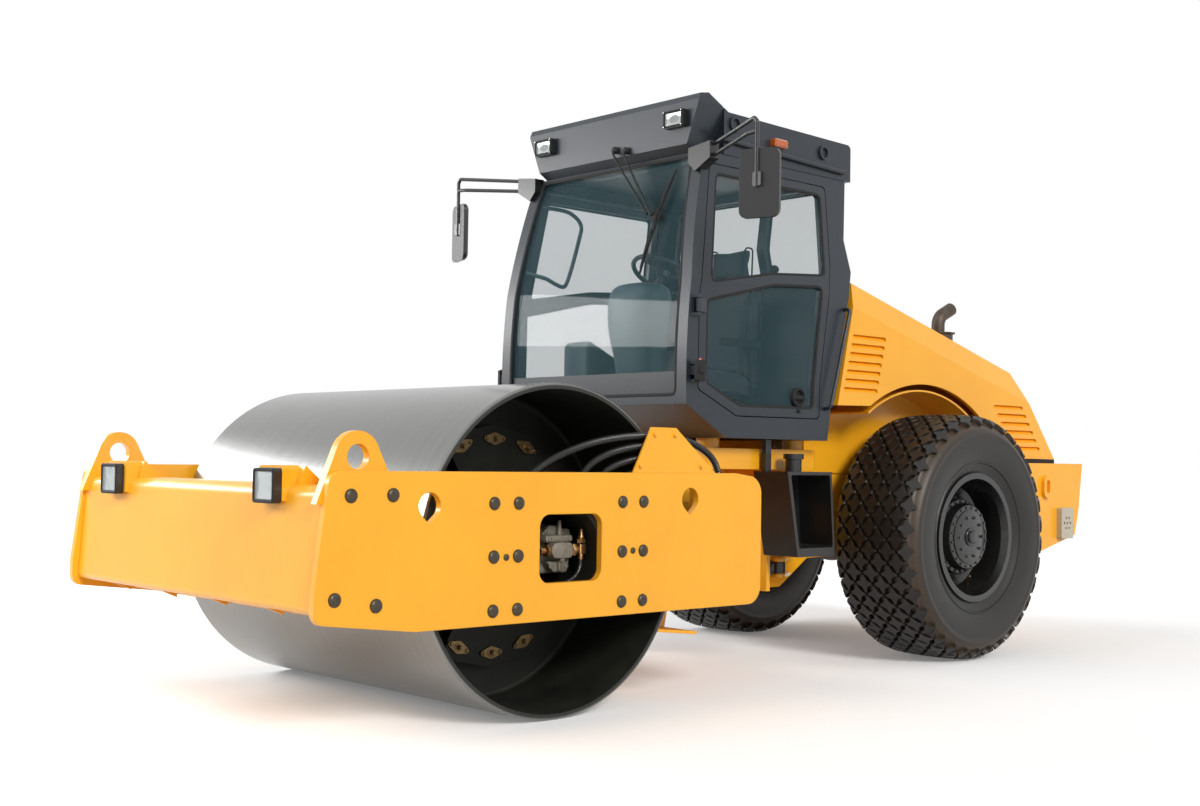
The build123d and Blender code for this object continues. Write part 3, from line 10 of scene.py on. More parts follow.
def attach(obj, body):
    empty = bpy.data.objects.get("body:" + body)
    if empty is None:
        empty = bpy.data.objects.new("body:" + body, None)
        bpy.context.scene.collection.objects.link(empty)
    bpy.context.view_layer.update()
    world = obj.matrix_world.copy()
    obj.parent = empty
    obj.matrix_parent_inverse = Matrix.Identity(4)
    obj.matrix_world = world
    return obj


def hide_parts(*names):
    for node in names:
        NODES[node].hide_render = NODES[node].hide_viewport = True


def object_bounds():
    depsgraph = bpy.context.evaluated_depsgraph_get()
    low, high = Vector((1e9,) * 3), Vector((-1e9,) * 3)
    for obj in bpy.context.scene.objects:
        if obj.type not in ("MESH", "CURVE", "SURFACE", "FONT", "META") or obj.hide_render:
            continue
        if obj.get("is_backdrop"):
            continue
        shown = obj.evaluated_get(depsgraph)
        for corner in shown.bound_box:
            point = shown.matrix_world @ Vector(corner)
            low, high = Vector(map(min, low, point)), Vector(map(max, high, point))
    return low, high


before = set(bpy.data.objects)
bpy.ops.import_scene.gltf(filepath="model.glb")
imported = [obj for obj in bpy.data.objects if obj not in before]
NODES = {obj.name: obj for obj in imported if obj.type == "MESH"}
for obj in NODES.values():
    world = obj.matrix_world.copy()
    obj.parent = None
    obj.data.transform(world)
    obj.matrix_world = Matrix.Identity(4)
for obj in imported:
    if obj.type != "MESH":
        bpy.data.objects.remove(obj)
CAD_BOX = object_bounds()

# Places of the frame, in metres
AXLE_X = -1.541
DRUM_X = 1.759
DRUM_R = 0.765
TYRE_R = 0.745
WHEEL_Y = 0.86
RIM_FACE = WHEEL_Y + 0.016
PLATE_Y = 1.15
CAB_FLOOR = 1.354
SIDES = ((1, "left"), (-1, "right"))


# ---- Colours


def srgb(r, g, b, a=1.0):
    """A linear colour from 8-bit display values."""
    def line(v):
        v = v / 255.0
        return v / 12.92 if v <= 0.04045 else ((v + 0.055) / 1.055) ** 2.4
    return (line(r), line(g), line(b), a)


def shade(colour, share):
    """A colour made lighter or darker, by its share of the light."""
    return tuple(min(1.0, c * share) for c in colour[:3]) + (1.0,)


class Tree:
    """Small helper that adds and links the nodes of one shader tree."""

    def __init__(self, tree):
        self.tree = tree
        tree.nodes.clear()

    def add(self, kind, inputs=(), **props):
        node = self.tree.nodes.new(kind)
        for key, value in props.items():
            setattr(node, key, value)
        for key, value in dict(inputs).items():
            self.feed(node.inputs[key], value)
        return node

    def feed(self, socket, value):
        """Links a socket to another's output, or sets it to a constant."""
        if isinstance(value, bpy.types.NodeSocket):
            self.tree.links.new(value, socket)
        else:
            socket.default_value = value

    def math(self, kind, a, b=0.0, clamp=False):
        return self.add("ShaderNodeMath", {0: a, 1: b}, operation=kind, use_clamp=clamp).outputs[0]

    def seen_directly(self):
        """1 for rays from the camera and through or off something shiny, else 0."""
        path = self.add("ShaderNodeLightPath").outputs
        return self.math("MAXIMUM", path["Is Camera Ray"],
                         self.math("MAXIMUM", path["Is Glossy Ray"], path["Is Transmission Ray"]))


class Nodes(Tree):
    """The tree of a new material, with its shader and its object coordinates."""

    def __init__(self, name):
        self.mat = bpy.data.materials.new(name)
        self.mat.use_nodes = True
        super().__init__(self.mat.node_tree)
        self.out = self.add("ShaderNodeOutputMaterial")
        self.shader = self.add("ShaderNodeBsdfPrincipled")
        self.feed(self.out.inputs[0], self.shader.outputs[0])
        self.coords = self.add("ShaderNodeTexCoord").outputs["Object"]

    def put(self, socket, value):
        self.feed(self.shader.inputs[socket], value)

    def noise(self, scale, detail=3.0, rough=0.55, vector=None):
        inputs = {"Vector": vector or self.coords, "Scale": scale, "Detail": detail, "Roughness": rough}
        return self.add("ShaderNodeTexNoise", inputs).outputs["Fac"]

    def ramp(self, value, stops):
        node = self.add("ShaderNodeValToRGB", {"Fac": value})
        for element, (place, grey) in zip(node.color_ramp.elements, stops):
            element.position = place
            element.color = (grey, grey, grey, 1.0)
        return node.outputs["Color"]

    def mix(self, fac, a, b):
        return self.add("ShaderNodeMix", data_type="RGBA", inputs={0: fac, 6: a, 7: b}).outputs[2]

    def split(self):
        return self.add("ShaderNodeSeparateXYZ", {0: self.coords}).outputs

    def bump(self, height, strength, distance=0.001, normal=None):
        inputs = {"Height": height, "Strength": strength, "Distance": distance}
        return self.add("ShaderNodeBump", inputs | ({"Normal": normal} if normal else {})).outputs[0]

    def rounded(self, radius):
        """A normal that rounds hard edges by radius."""
        return self.add("ShaderNodeBevel", {"Radius": radius}, samples=4).outputs[0]


def enamel(name, colour, worn, rough=0.28, coat=0.35, dust=0.25, edge=0.0025):
    """Sprayed enamel: slight unevenness, orange peel, grime towards the ground."""
    n = Nodes(name)
    cloud = n.noise(1.7, 4.0, 0.6)
    speck = n.noise(38.0, 5.0, 0.65)
    low = n.math("MULTIPLY", n.math("SUBTRACT", 0.95, n.split()["Z"]), 0.9, clamp=True)
    dirt = n.math("MULTIPLY", low, n.ramp(speck, [(0.42, 0.0), (0.75, 1.0)]))
    grime = n.math("MULTIPLY", dirt, dust, clamp=True)
    base = n.mix(n.ramp(cloud, [(0.35, 0.0), (0.7, 1.0)]), colour, worn)
    n.put("Base Color", n.mix(grime, base, srgb(120, 98, 70)))
    n.put("Roughness", n.math("ADD", n.math("MULTIPLY", speck, 0.12), rough - 0.06))
    n.put("Coat Weight", coat)
    n.put("Coat Roughness", 0.12)
    n.put("Specular IOR Level", 0.5)
    n.put("Normal", n.bump(n.noise(260.0, 2.0), 0.05, 0.0006, n.rounded(edge)))
    return n.mat


def rubber(name, colour, rough=0.75):
    """Dull black rubber with a fine grain."""
    n = Nodes(name)
    speck = n.noise(90.0, 4.0, 0.6)
    n.put("Base Color", n.mix(n.ramp(speck, [(0.35, 0.0), (0.8, 1.0)]), colour, shade(colour, 1.7)))
    n.put("Roughness", n.math("ADD", n.math("MULTIPLY", speck, 0.2), rough - 0.1))
    n.put("Specular IOR Level", 0.4)
    n.put("Normal", n.bump(speck, 0.25, 0.001))
    return n.mat


def plain_metal(name, colour, rough=0.3, metallic=1.0, grain=60.0, uneven=0.5, bump=0.1):
    """Bare or cast metal, darker in patches."""
    n = Nodes(name)
    cloud = n.noise(grain, 5.0, 0.6)
    n.put("Base Color", n.mix(n.ramp(cloud, [(0.3, 0.0), (0.7, 1.0)]), shade(colour, 1.0 - uneven), colour))
    n.put("Metallic", metallic)
    n.put("Roughness", n.math("ADD", n.math("MULTIPLY", cloud, 0.25), rough - 0.1))
    n.put("Normal", n.bump(n.noise(grain * 3.0, 3.0), bump, 0.001))
    return n.mat


def glazing(name, colour, alpha=0.3, rough=0.03):
    """Tinted sheet that lets most light through and mirrors a little of what stands round it."""
    n = Nodes(name)
    smear = n.noise(2.2, 4.0, 0.6)
    n.put("Base Color", n.mix(n.ramp(smear, [(0.3, 0.0), (0.7, 1.0)]), colour, shade(colour, 1.25)))
    n.put("Alpha", alpha)
    n.put("Roughness", rough)
    n.put("IOR", 1.45)
    return n.mat


def drum_steel():
    """The drum: rolled bright round its outside with fine rings, painted near-black inside its ends as shade.
    """
    n = Nodes("drum_steel")
    xyz = n.split()
    dx = n.math("SUBTRACT", xyz["X"], DRUM_X)
    dz = n.math("SUBTRACT", xyz["Z"], DRUM_R)
    radius = n.math("SQRT", n.math("ADD", n.math("MULTIPLY", dx, dx), n.math("MULTIPLY", dz, dz)))
    turn = n.math("ARCTAN2", dz, dx)
    around = n.add("ShaderNodeCombineXYZ", {"X": n.math("MULTIPLY", xyz["Y"], 150.0),
                                            "Y": n.math("MULTIPLY", turn, 0.5)})
    rings = n.noise(1.0, 5.0, 0.65, vector=around.outputs[0])
    smear = n.noise(4.5, 5.0, 0.6)
    outer = n.ramp(radius, [(0.752, 0.0), (0.7565, 1.0)])
    steel = n.mix(n.ramp(rings, [(0.3, 0.0), (0.72, 1.0)]), srgb(126, 127, 125), srgb(141, 142, 140))
    stain = n.math("MULTIPLY", n.ramp(smear, [(0.45, 0.0), (0.8, 1.0)]), 0.12)
    steel = n.mix(stain, steel, srgb(104, 103, 99))
    # Painted shade: the shell's inner surface gets a near-black colour for the shaded recess of the drum's
    # ends.
    recess_shade = n.mix(n.ramp(smear, [(0.35, 0.0), (0.75, 1.0)]), srgb(20, 22, 17), srgb(36, 36, 28))
    n.put("Base Color", n.mix(outer, recess_shade, steel))
    n.put("Metallic", n.math("MULTIPLY", outer, 0.95))
    bright = n.math("ADD", n.math("MULTIPLY", rings, 0.05), 0.22)
    dull = n.math("ADD", n.math("MULTIPLY", smear, 0.3), 0.42)
    n.put("Roughness", n.add("ShaderNodeMix", {0: outer, 2: dull, 3: bright}).outputs[0])
    n.put("Normal", n.bump(rings, 0.02, 0.0004))
    return n.mat


def tyre_rubber():
    """Tyre rubber with dry dust between the blocks and a greyer sidewall."""
    n = Nodes("tyre_rubber")
    groove = n.add("ShaderNodeAttribute", attribute_name="groove").outputs["Fac"]
    speck = n.noise(60.0, 5.0, 0.65)
    cloud = n.noise(5.0, 4.0, 0.6)
    dust = n.math("MULTIPLY", n.math("ADD", n.math("MULTIPLY", groove, 0.60), n.math("MULTIPLY", cloud, 0.08)),
                  n.ramp(speck, [(0.25, 0.45), (0.7, 1.0)]), clamp=True)
    n.put("Base Color", n.mix(dust, srgb(21, 21, 20), srgb(88, 68, 48)))
    n.put("Roughness", n.math("ADD", n.math("MULTIPLY", speck, 0.2), 0.34))
    n.put("Specular IOR Level", 0.45)
    n.put("Normal", n.bump(speck, 0.3, 0.001))
    return n.mat


def grained(name, colour):
    """Moulded plastic with a fine grain."""
    n = Nodes(name)
    speck = n.noise(80.0, 3.0, 0.5)
    n.put("Base Color", n.mix(n.ramp(speck, [(0.3, 0.0), (0.8, 1.0)]), colour, shade(colour, 0.8)))
    n.put("Roughness", n.math("ADD", n.math("MULTIPLY", speck, 0.2), 0.35))
    n.put("Normal", n.bump(speck, 0.1, 0.0006, n.rounded(0.002)))
    return n.mat


def woven(name, colour):
    """Seat cloth with its warp and weft."""
    n = Nodes(name)
    threads = {"Vector": n.coords, "Scale": 190.0, "Distortion": 0.6, "Detail": 1.0}
    warp, weft = (n.add("ShaderNodeTexWave", threads, bands_direction=way).outputs["Fac"] for way in "YZ")
    weave = n.math("MULTIPLY", warp, weft)
    n.put("Base Color", n.mix(weave, colour, shade(colour, 2.2)))
    n.put("Roughness", n.math("ADD", n.math("MULTIPLY", n.noise(30.0), 0.15), 0.78))
    n.put("Sheen Weight", 0.25)
    n.put("Normal", n.bump(weave, 0.3, 0.001))
    return n.mat


def lit_lens(name, colour):
    """A coloured lens that lets some light through."""
    n = Nodes(name)
    speck = n.noise(25.0, 2.0)
    n.put("Base Color", n.mix(n.ramp(speck, [(0.3, 0.0), (0.7, 1.0)]), colour, shade(colour, 1.25)))
    n.put("Roughness", 0.12)
    n.put("Transmission Weight", 0.45)
    n.put("Coat Weight", 0.6)
    return n.mat


YELLOW = srgb(255, 181, 32)
DUSTY_YELLOW = srgb(251, 173, 29)
MATS = {
    "yellow_paint": enamel("yellow_paint", YELLOW, DUSTY_YELLOW, rough=0.34, coat=0.2, dust=0.05),
    "cab_paint": enamel("cab_paint", srgb(27, 35, 43), srgb(32, 40, 48), rough=0.40, coat=0.06, dust=0.03),
    "black_paint": enamel("black_paint", srgb(22, 23, 23), srgb(29, 30, 30), rough=0.36, coat=0.15, dust=0.2),
    "rim_paint": enamel("rim_paint", srgb(15, 15, 15), srgb(21, 21, 20), rough=0.24, coat=0.4, dust=0.1),
    # Painted shade: near-black olive steel for the parts in the drum's end recess.
    "dark_steel": plain_metal("dark_steel", srgb(34, 34, 27), rough=0.5, metallic=0.4, grain=14.0),
    "drum_steel": drum_steel(),
    "tyre_rubber": tyre_rubber(),
    "glass": glazing("glass", srgb(60, 96, 104), 0.17),
    "lamp_glass": glazing("lamp_glass", srgb(225, 232, 234), 0.22, 0.06),
    "chrome": plain_metal("chrome", srgb(214, 216, 218), rough=0.16, grain=12.0, uneven=0.35,
                          bump=0.02),
    "chrome_rod": plain_metal("chrome_rod", srgb(220, 220, 216), rough=0.16, grain=20.0, uneven=0.2,
                              bump=0.02),
    "amber_lens": lit_lens("amber_lens", srgb(236, 112, 20)),
    "red_lens": lit_lens("red_lens", srgb(222, 52, 20)),
    "black_rubber": rubber("black_rubber", srgb(22, 22, 22)),
    "console_plastic": grained("console_plastic", srgb(78, 102, 108)),
    "dash_plastic": grained("dash_plastic", srgb(30, 36, 40)),
    "seat_fabric": woven("seat_fabric", srgb(34, 40, 45)),
    "cast_metal": plain_metal("cast_metal", srgb(140, 134, 120), rough=0.5, metallic=0.35, grain=30.0,
                              uneven=0.35),
    "exhaust_metal": plain_metal("exhaust_metal", srgb(92, 80, 70), rough=0.5, metallic=0.6, grain=18.0),
    "zinc": plain_metal("zinc", srgb(150, 126, 88), rough=0.36, metallic=0.85, grain=45.0),
    "brass": plain_metal("brass", srgb(200, 156, 106), rough=0.3, metallic=0.95, grain=60.0),
    "alarm_plastic": grained("alarm_plastic", srgb(200, 190, 170)),
    "bolt_steel": plain_metal("bolt_steel", srgb(84, 76, 64), rough=0.36, metallic=0.6, grain=80.0),
    "spiral_guard": enamel("spiral_guard", srgb(40, 40, 39), srgb(60, 60, 58), rough=0.2, coat=0.6, dust=0.0),
}

NODES_OF = {
    "drum_steel": "drum_shell",
    # The exciter housing, drum plates and carriers in the end recess take the steel painted near-black as
    # shade.
    "dark_steel": "exciter_housing drum_plates drum_carriers",
    "zinc": "isolators",
    "yellow_paint": "side_plate_left side_plate_right front_crossbeam rear_crossbeam scrapers hose_guard "
                    "pivot_block chassis rear_bumper fenders hood_shell",
    "black_paint": "headlights steer_barrel_left steer_barrel_right steps mirrors work_lamps wipers",
    "cast_metal": "drum_motors axle_housing engine_block",
    "black_rubber": "hoses",
    "chrome_rod": "steer_rod_left steer_rod_right",
    "alarm_plastic": "reversing_alarm",
    "cab_paint": "cab_body door_frame_left door_frame_right cab_roof cab_rails",
    "glass": "cab_glass door_glass_left door_glass_right",
    "amber_lens": "marker_lamps",
    "seat_fabric": "seat",
    "console_plastic": "consoles",
    "dash_plastic": "steering_wheel",
    "exhaust_metal": "exhaust",
    "tyre_rubber": "tyre_left tyre_right",
    "rim_paint": "rim_left rim_right",
}
for material, names in NODES_OF.items():
    for node_name in names.split():
        NODES[node_name].data.materials.clear()
        NODES[node_name].data.materials.append(MATS[material])


# ---- Mesh building


class Shape:
    """Collects closed forms into one joined mesh."""

    def __init__(self):
        self.verts = []
        self.faces = []
        self.count = 0
        self.groove = []

    def add(self, verts, faces, groove=0.0):
        """Adds points and faces, with how deep in a groove each point lies."""
        verts = np.asarray(verts, float).reshape(-1, 3)
        self.verts.append(verts)
        self.faces.extend([tuple(i + self.count for i in face) for face in faces])
        self.count += len(verts)
        values = np.full(len(verts), groove, float) if np.isscalar(groove) else np.asarray(groove, float)
        self.groove.append(values)

    def put(self, form, at=None):
        """Adds a form, which is its points and its faces, at a frame."""
        verts, faces = form
        self.add(verts if at is None else placed(verts, at), faces)

    def build(self, name, body, material, slot=None, angle=40.0, grooved=False):
        """Makes the piece that rides on a body, with its material; the slot argument is not used."""
        mesh = bpy.data.meshes.new(name)
        mesh.from_pydata(np.concatenate(self.verts).tolist(), [], self.faces)
        mesh.validate()
        mesh.polygons.foreach_set("use_smooth", [True] * len(mesh.polygons))
        mesh.set_sharp_from_angle(angle=math.radians(angle))
        if grooved:
            layer = mesh.attributes.new("groove", "FLOAT", "POINT")
            layer.data.foreach_set("value", np.concatenate(self.groove).astype(np.float32))
        mesh.materials.append(MATS[material])
        piece = bpy.data.objects.new(name, mesh)
        bpy.context.scene.collection.objects.link(piece)
        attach(piece, body)
        return piece


def basis(origin, normal, up=(0, 0, 1)):
    """The frame at origin whose third axis is normal and whose second is near up."""
    z = np.array(normal, float)
    z /= np.linalg.norm(z)
    x = np.cross(np.array(up, float), z)
    if np.linalg.norm(x) < 1e-6:
        x = np.cross((0.0, 1.0, 0.0), z)
    x /= np.linalg.norm(x)
    return np.array(origin, float), np.stack([x, np.cross(z, x), z])


def upright(ahead, y=0.0):
    """The level frame on the ground at a place ahead of the axle."""
    return np.array((AXLE_X + ahead, y, 0.0)), np.eye(3)


def placed(verts, frame_at):
    """Points of a form, moved into a frame."""
    origin, axes = frame_at
    return np.asarray(verts, float).reshape(-1, 3) @ axes + origin


def lathe(profile, segments=32):
    """A closed form turned round the third axis, from its (radius, height) points foot to top."""
    verts, faces, rings = [], [], []
    for radius, height in profile:
        if radius < 1e-6:
            rings.append([len(verts)])
            verts.append((0.0, 0.0, height))
            continue
        rings.append(list(range(len(verts), len(verts) + segments)))
        for k in range(segments):
            turn = 2 * math.pi * k / segments
            verts.append((radius * math.cos(turn), radius * math.sin(turn), height))
    for low, high in zip(rings, rings[1:]):
        for k in range(segments):
            m = (k + 1) % segments
            if len(low) == 1:
                faces.append((low[0], high[m], high[k]))
            elif len(high) == 1:
                faces.append((low[k], low[m], high[0]))
            else:
                faces.append((low[k], low[m], high[m], high[k]))
    if len(rings[0]) > 1:
        faces.append(tuple(reversed(rings[0])))
    if len(rings[-1]) > 1:
        faces.append(tuple(rings[-1]))
    return verts, faces


def walls(levels, count, closed=False):
    """The faces between rings of count points, and from the last ring to the first where closed."""
    starts = range(levels if closed else levels - 1)
    pairs = [(level * count, (level + 1) % levels * count) for level in starts]
    return [(a + k, a + (k + 1) % count, b + (k + 1) % count, b + k) for a, b in pairs for k in range(count)]


def lifted(outline, height):
    """A flat outline at a height."""
    outline = np.asarray(outline, float)
    return np.column_stack([outline, np.full(len(outline), height)])


def capped(rings):
    """A form through rings of equal count, closed at both ends."""
    count = len(rings[0])
    last = (len(rings) - 1) * count
    faces = [tuple(reversed(range(count)))] + walls(len(rings), count) + [tuple(range(last, last + count))]
    return np.concatenate(rings), faces


def ring_form(profile, segments):
    """A ring turned round the third axis from a closed (radius, height) loop."""
    turns = [2 * math.pi * k / segments for k in range(segments)]
    verts = [(r * math.cos(turn), r * math.sin(turn), h) for turn in turns for r, h in profile]
    return verts, walls(segments, len(profile), closed=True)


def sheet(rows, cols):
    """The faces of a thin grid with rows by cols points in front and as many behind."""
    count = rows * cols
    faces = []
    for i in range(rows - 1):
        for j in range(cols - 1):
            front = (i * cols + j, i * cols + j + 1, (i + 1) * cols + j + 1, (i + 1) * cols + j)
            faces += [front, tuple(count + k for k in reversed(front))]
    rim = list(range(cols)) + [i * cols + cols - 1 for i in range(1, rows)]
    rim += [(rows - 1) * cols + j for j in range(cols - 2, -1, -1)]
    rim += [i * cols for i in range(rows - 2, 0, -1)]
    return faces + [(b, a, count + a, count + b) for a, b in zip(rim, rim[1:] + rim[:1])]


def anticlockwise(outline):
    """A list of outline points in the order that a prism needs."""
    area = sum(a[0] * b[1] - b[0] * a[1] for a, b in zip(outline, outline[1:] + outline[:1]))
    return outline if area > 0 else outline[::-1]


def inset_outline(points, amount):
    """A polygon (anticlockwise) drawn in by amount, corner by corner."""
    points = np.asarray(points, float)
    before = np.roll(points, 1, 0)
    after = np.roll(points, -1, 0)
    d1 = points - before
    d2 = after - points
    d1 /= np.linalg.norm(d1, axis=1, keepdims=True) + 1e-12
    d2 /= np.linalg.norm(d2, axis=1, keepdims=True) + 1e-12
    n1 = np.stack([-d1[:, 1], d1[:, 0]], 1)
    n2 = np.stack([-d2[:, 1], d2[:, 0]], 1)
    middle = n1 + n2
    scale = 2.0 / np.maximum((middle ** 2).sum(1, keepdims=True), 0.5)
    return points + middle * scale * amount


def rounded_outline(points, radius, steps=5):
    """A polygon with its corners rounded."""
    points = [np.array(p, float) for p in points]
    out = []
    for i, here in enumerate(points):
        before, after = points[i - 1], points[(i + 1) % len(points)]
        to_before, to_after = before - here, after - here
        a, b = np.linalg.norm(to_before), np.linalg.norm(to_after)
        cosine = float(np.dot(to_before, to_after) / (a * b))
        half = math.acos(max(-1.0, min(1.0, cosine))) / 2
        cut = min(radius / math.tan(half), 0.45 * a, 0.45 * b)
        p, q = here + to_before / a * cut, here + to_after / b * cut
        for k in range(steps + 1):
            t = k / steps
            out.append((1 - t) ** 2 * p + 2 * t * (1 - t) * here + t * t * q)
    return np.array(out)


def rectangle(width, height, radius=0.0, steps=5):
    """A rectangle round the origin, with rounded corners where radius is given."""
    corners = [(x * width / 2, y * height / 2) for x, y in ((-1, -1), (1, -1), (1, 1), (-1, 1))]
    return rounded_outline(corners, radius, steps) if radius else np.array(corners)


def prism(outline, height, bevel=0.0, foot=0.0):
    """A bevelled prism over an anticlockwise outline, from foot up the third axis."""
    outline = np.asarray(outline, float)
    top = foot + height
    if not bevel:
        return capped([lifted(outline, foot), lifted(outline, top)])
    return capped([lifted(outline, foot), lifted(outline, top - bevel),
                   lifted(inset_outline(outline, bevel * 0.3), top - bevel * 0.3),
                   lifted(inset_outline(outline, bevel), top)])


def across(outline, width, bevel, y):
    """A prism over a side view of places ahead of the axle and heights, laid across the machine from y."""
    verts, faces = prism(anticlockwise([(-(x + AXLE_X), z) for x, z in outline]), width, bevel, y)
    return placed(verts, (np.zeros(3), np.array([(-1.0, 0, 0), (0, 0, 1.0), (0, 1.0, 0)]))), faces


def tube(path, radius, segments=12, closed=False, flat=1.0, up=None):
    """A tube along points; radius may change along it. flat squeezes it along the frame's second axis."""
    path = np.asarray(path, float)
    count = len(path)
    if closed:
        ahead = np.roll(path, -1, 0) - np.roll(path, 1, 0)
    else:
        ahead = np.gradient(path, axis=0)
    ahead /= np.linalg.norm(ahead, axis=1, keepdims=True)
    side = np.cross(ahead[0], up if up is not None else (0.0, 0.0, 1.0))
    if np.linalg.norm(side) < 1e-4:
        side = np.cross(ahead[0], (1.0, 0.0, 0.0))
    side /= np.linalg.norm(side)
    radii = np.full(count, radius, float) if np.isscalar(radius) else np.asarray(radius, float)
    turns = np.arange(segments) * 2 * math.pi / segments
    rings = []
    for i in range(count):
        if up is not None:
            side = np.cross(ahead[i], up)
        else:
            side = side - ahead[i] * np.dot(side, ahead[i])
        side /= np.linalg.norm(side)
        other = np.cross(ahead[i], side)
        ring = np.outer(np.cos(turns), side) + flat * np.outer(np.sin(turns), other)
        rings.append(path[i] + radii[i] * ring)
    if not closed:
        return capped(rings)
    return np.concatenate(rings), walls(count, segments, closed=True)


def smooth_route(points, rounds=4):
    """A route's corners cut again and again into a smooth line that keeps both ends."""
    points = np.asarray(points, float)
    for _ in range(rounds):
        q = 0.75 * points[:-1] + 0.25 * points[1:]
        r = 0.25 * points[:-1] + 0.75 * points[1:]
        middle = np.stack([q, r], 1).reshape(-1, points.shape[1])
        points = np.vstack([points[:1], middle[1:-1], points[-1:]])
    return points


def even_steps(path, step):
    """Points at even steps along a path."""
    path = np.asarray(path, float)
    run = np.concatenate([[0.0], np.cumsum(np.linalg.norm(np.diff(path, axis=0), axis=1))])
    places = np.linspace(0.0, run[-1], max(2, int(run[-1] / step) + 1))
    return np.stack([np.interp(places, run, path[:, k]) for k in range(path.shape[1])], 1)


def coil(path, radius, wire, pitch, segments=6):
    """A spiral of wire round a path."""
    line = even_steps(path, pitch / 10)
    ahead = np.gradient(line, axis=0)
    ahead /= np.linalg.norm(ahead, axis=1, keepdims=True)
    side = np.cross(ahead, (0.0, 1.0, 0.0))
    side /= np.linalg.norm(side, axis=1, keepdims=True)
    other = np.cross(ahead, side)
    turn = np.arange(len(line)) * 2 * math.pi / 10
    centre = line + radius * (np.cos(turn)[:, None] * side + np.sin(turn)[:, None] * other)
    return tube(centre, wire, segments)


def hexagon(size):
    """A hexagon by the distance of its corners from its middle."""
    return [(size * math.cos(k * math.pi / 3), size * math.sin(k * math.pi / 3)) for k in range(6)]


def bolts_at(shape, places, normal, size=0.012, head=0.009, washer=True):
    """Hexagon heads with their chamfers, on washers."""
    corners = hexagon(size)
    washer_profile = [(size * 1.25, 0.0), (size * 1.25, size * 0.14), (size * 1.15, size * 0.2)]
    for place in places:
        at = basis(place, normal)
        if washer:
            shape.put(lathe(washer_profile, 20), at)
        shape.put(prism(corners, head, head * 0.22, size * 0.2 if washer else 0.0), at)


def domes_at(shape, places, normal, radius=0.027, height=0.014, segments=28):
    """Round-headed plugs with a flat rim."""
    shares = ((1.0, 0.0), (1.0, 0.3), (0.93, 0.55), (0.75, 0.82), (0.4, 0.97), (0.0, 1.0))
    profile = [(radius * out, height * lift) for out, lift in shares]
    for place in places:
        shape.put(lathe(profile, segments), basis(place, normal))


# ---- Tyres


CROWN = [(0.0, 0.745), (0.060, 0.745), (0.190, 0.741), (0.250, 0.729), (0.280, 0.698), (0.2905, 0.650)]
SIDEWALL = [(0.2925, 0.600), (0.2890, 0.540), (0.2775, 0.482), (0.2570, 0.430), (0.2360, 0.396)]
TREAD_DEPTH = 0.027
BLOCK_ROWS = 9
BLOCKS_ROUND = 34
ROW_PITCH = 0.064
BLOCK_SHARE = 0.84


def crown_curve():
    """The tread's outline as dense points, their inward normals and run lengths, for one half."""
    points = smooth_route(CROWN, 3)
    line = even_steps(points, 0.004)
    ahead = np.gradient(line, axis=0)
    ahead /= np.linalg.norm(ahead, axis=1, keepdims=True)
    outward = np.stack([-ahead[:, 1], ahead[:, 0]], 1)
    run = np.concatenate([[0.0], np.cumsum(np.linalg.norm(np.diff(line, axis=0), axis=1))])
    return line, outward, run


def build_tyre(side, name):
    """A tyre with its crossed rows of diamond blocks on a ring."""
    line, outward, run = crown_curve()
    shape = Shape()
    depth = TREAD_DEPTH * np.clip((0.338 - run) / 0.045, 0.0, 1.0)
    base = line - outward * depth[:, None]
    half = [tuple(p) for p in base[::3]] + [(0.2915, 0.640), (0.2945, 0.634), (0.2945, 0.630), (0.2915, 0.624)]
    half += SIDEWALL[:3] + [(0.270, 0.462), (0.2745, 0.456), (0.2725, 0.449), (0.264, 0.445)] + SIDEWALL[3:]
    half += [(0.233, 0.372)]
    groove = [1.0 if r > 0.66 else max(0.0, (r - 0.60) / 0.06) * 0.5 for y, r in half]
    profile = half + [(-y, r) for y, r in reversed(half[1:])]
    shades = groove + list(reversed(groove[1:]))
    segments = 160
    verts, faces = ring_form([(r, y) for y, r in profile], segments)
    at = basis((AXLE_X, side * WHEEL_Y, TYRE_R), (0, 1, 0), (0, 0, 1))
    shape.add(placed(verts, at), faces, np.tile(shades, segments))

    quarter = np.array([(1.0, 0.15), (0.78, 0.22), (0.50, 0.34), (0.34, 0.50), (0.22, 0.78), (0.15, 1.0)])
    outline = np.concatenate([quarter, (quarter * (-1, 1))[::-1], quarter * (-1, -1),
                              (quarter * (1, -1))[::-1]])
    around_half = math.pi * TYRE_R / BLOCKS_ROUND * BLOCK_SHARE
    across_half = ROW_PITCH * BLOCK_SHARE
    rings = [(1.05, 1.06), (0.985, 0.16), (0.93, 0.0)]
    origin, axes = at
    for row in range(-(BLOCK_ROWS // 2), BLOCK_ROWS // 2 + 1):
        for k in range(BLOCKS_ROUND):
            turn = 2 * math.pi * (k + (0.5 if row % 2 else 0.0)) / BLOCKS_ROUND - math.pi / 2
            block = []
            for scale, drop in rings:
                across = row * ROW_PITCH + outline[:, 1] * across_half * scale
                angle = turn + outline[:, 0] * around_half * scale / TYRE_R
                t = np.abs(across)
                y = np.interp(t, run, line[:, 0]) * np.sign(across)
                r = np.interp(t, run, line[:, 1])
                oy = np.interp(t, run, outward[:, 0]) * np.sign(across)
                orr = np.interp(t, run, outward[:, 1])
                y = y - oy * TREAD_DEPTH * drop
                r = r - orr * TREAD_DEPTH * drop
                block.append(np.stack([r * np.cos(angle), r * np.sin(angle), y], 1))
            verts, faces = capped(block)
            values = np.repeat([0.9, 0.12, 0.03], len(outline))
            shape.add(verts @ axes + origin, faces, values)
    piece = shape.build(f"tread_tyre_{name}", f"wheel_{name}", "tyre_rubber", angle=35.0, grooved=True)
    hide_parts(f"tyre_{name}")


for side, name in SIDES:
    build_tyre(side, name)


